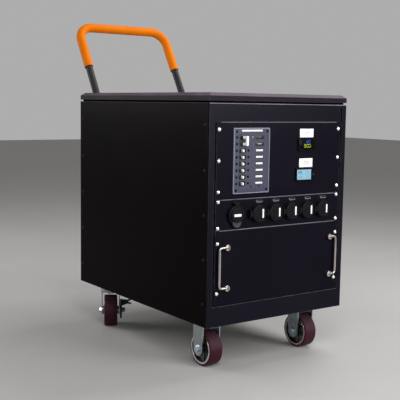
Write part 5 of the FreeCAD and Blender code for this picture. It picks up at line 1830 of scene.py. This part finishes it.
@dataclass
class Casters:
    """Two fixed casters at the front and two swivel casters with brakes at the back."""
    fork_outer: float = 32.5
    washer_radius: float = 13.5
    washer_hole: float = 10.0
    washer_thickness: float = 0.28

    def build(self) -> None:
        """Builds the forks, the axles and all four wheels."""
        dress("front_caster_forks", ZINC, bevel=0.8)
        dress("rear_caster_plates", ZINC, bevel=0.6)
        dress("caster_bolts", BRIGHT_ZINC, bevel=0.4)
        self.front_axles()
        for side in Side:
            word = side.word
            Wheel(f"{word}_front").build()
            Wheel(f"{word}_rear").build()
            dress(f"{word}_swivel_fork", ZINC, f"{word}_swivel", bevel=0.8)
            dress(f"{word}_brake_pedal", BLACK_OXIDE, f"{word}_brake", bevel=1.0)
            dress(f"{word}_rear_axle", BRIGHT_ZINC, f"{word}_swivel", bevel=0.5)

    def front_axles(self) -> None:
        """Axle bolts of the fixed casters, and a washer on the left of each of their forks."""
        dress("front_axle_bolts", BRIGHT_ZINC, bevel=0.5)
        ring = washer(self.washer_radius, self.washer_hole, self.washer_thickness)
        places = [Axes.facing(pivot_of(f"{side.word}_front_wheel"), (-1, 0, 0)) for side in Side]
        make("front_axle_washers", copies(ring.moved(w=self.fork_outer + 0.01), places), BRIGHT_ZINC)


# ---------------------------------------------------------------- studio
@dataclass
class Studio:
    """Pale floor and world, soft lamps and the camera.

    Lengths are in metres and angles in radians; the lens and its sensor are in millimetres.
    """
    eye: Triple = (-1.634071, -2.35818, 0.784809)
    yaw: float = 0.618
    pitch: float = 0.114
    roll: float = 0.015
    lens: float = 74.72
    sensor: float = 36.0
    lit_point: Triple = (0.0, 0.0, 0.5)
    floor_reach: float = 14.0
    ambient: float = 0.26
    backdrop: float = 0.42

    def build(self) -> None:
        """Sets the view, builds the floor, the world, the lamps and the camera."""
        bpy.context.scene.view_settings.view_transform = "Standard"
        self.floor()
        self.world()
        self.lamp("key_lamp", (1.1, -3.2, 1.5), size=1.6, power=78.0)
        self.lamp("side_lamp", (-2.2, 2.4, 1.6), size=1.6, power=42.0)
        self.lamp("top_lamp", (1.6, -0.1, 2.7), size=1.6, power=50.0)
        self.lamp("fill_lamp", (-1.0, -1.8, 1.9), size=0.9, power=24.0)
        self.camera()

    def floor(self) -> None:
        """Large flat floor of pale concrete."""
        reach = self.floor_reach
        mesh = bpy.data.meshes.new("floor")
        corners = [(-reach, -reach, 0), (reach, -reach, 0), (reach, reach, 0), (-reach, reach, 0)]
        mesh.from_pydata(corners, [], [(0, 1, 2, 3)])
        floor = bpy.data.objects.new("floor", mesh)
        bpy.context.scene.collection.objects.link(floor)
        mesh.materials.append(FLOOR_GREY.material())

    def world(self) -> None:
        """Background that looks pale, also in a mirror or through glass, and lights more softly."""
        world = bpy.data.worlds.new("studio")
        world.use_nodes = True
        bpy.context.scene.world = world
        graph = Graph(world.node_tree)
        rays = graph.add("ShaderNodeLightPath").outputs
        direct = graph.math("ADD", rays["Is Camera Ray"], rays["Is Transmission Ray"])
        seen = graph.math("ADD", direct, rays["Is Glossy Ray"], clamp=True)
        strength = graph.spread(seen, 0.0, 1.0, self.ambient, self.backdrop)
        backdrop = world.node_tree.nodes["Background"]
        backdrop.inputs["Color"].default_value = (1.0, 1.0, 1.0, 1)
        world.node_tree.links.new(strength, backdrop.inputs["Strength"])

    def lamp(self, name: str, place: Triple, size: float, power: float) -> None:
        """Square soft lamp that looks at the middle of the cabinet.

        Args:
            name: Name of the lamp.
            place: Where it hangs.
            size: Length of its sides.
            power: Its power in watts.
        """
        data = bpy.data.lights.new(name, "AREA")
        data.energy, data.size, data.shape = power, size, "SQUARE"
        lamp = bpy.data.objects.new(name, data)
        lamp.matrix_world = looking(np.array(place), np.array(self.lit_point) - np.array(place))
        bpy.context.scene.collection.objects.link(lamp)

    def camera(self) -> None:
        """Camera from its yaw about z, its pitch below the horizon and its roll about its own line."""
        data = bpy.data.cameras.new("camera")
        data.lens, data.sensor_width = self.lens, self.sensor
        level = math.cos(self.pitch)
        ahead = np.array([math.sin(self.yaw) * level, math.cos(self.yaw) * level, -math.sin(self.pitch)])
        camera = bpy.data.objects.new("camera", data)
        camera.matrix_world = looking(np.array(self.eye), ahead, self.roll)
        bpy.context.scene.collection.objects.link(camera)
        bpy.context.scene.camera = camera


def looking(place: np.ndarray, ahead: np.ndarray, roll: float = 0.0) -> Matrix:
    """Matrix of a camera or lamp, whose own axes are right, up and back.

    Level right is ahead x z and level up is right x ahead; both are then turned about ahead by roll.

    Args:
        place: Where it stands.
        ahead: Where it looks.
        roll: Turn about its own line, in radians.

    Returns:
        The matrix.
    """
    ahead = ahead / np.linalg.norm(ahead)
    right = np.cross(ahead, [0.0, 0.0, 1.0])
    right /= np.linalg.norm(right)
    up = np.cross(right, ahead)
    turned = math.cos(roll) * right + math.sin(roll) * up
    raised = math.cos(roll) * up - math.sin(roll) * right
    rows = np.eye(4)
    rows[:3, 0], rows[:3, 1], rows[:3, 2], rows[:3, 3] = turned, raised, -ahead, place
    return Matrix(rows.tolist())


def main() -> None:
    """Builds every sub-assembly in order, then the studio."""
    logging.basicConfig(level=logging.INFO, format="%(name)s: %(message)s")
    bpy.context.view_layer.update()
    for assembly in (Casing(), RackFront(), BreakerPanel(), Meters(), Sockets(), PullHandles(),
                     PushHandle(), Casters(), Studio()):
        LOG.info("building %s", type(assembly).__name__)
        assembly.build()


if __name__ == "__main__":
    main()
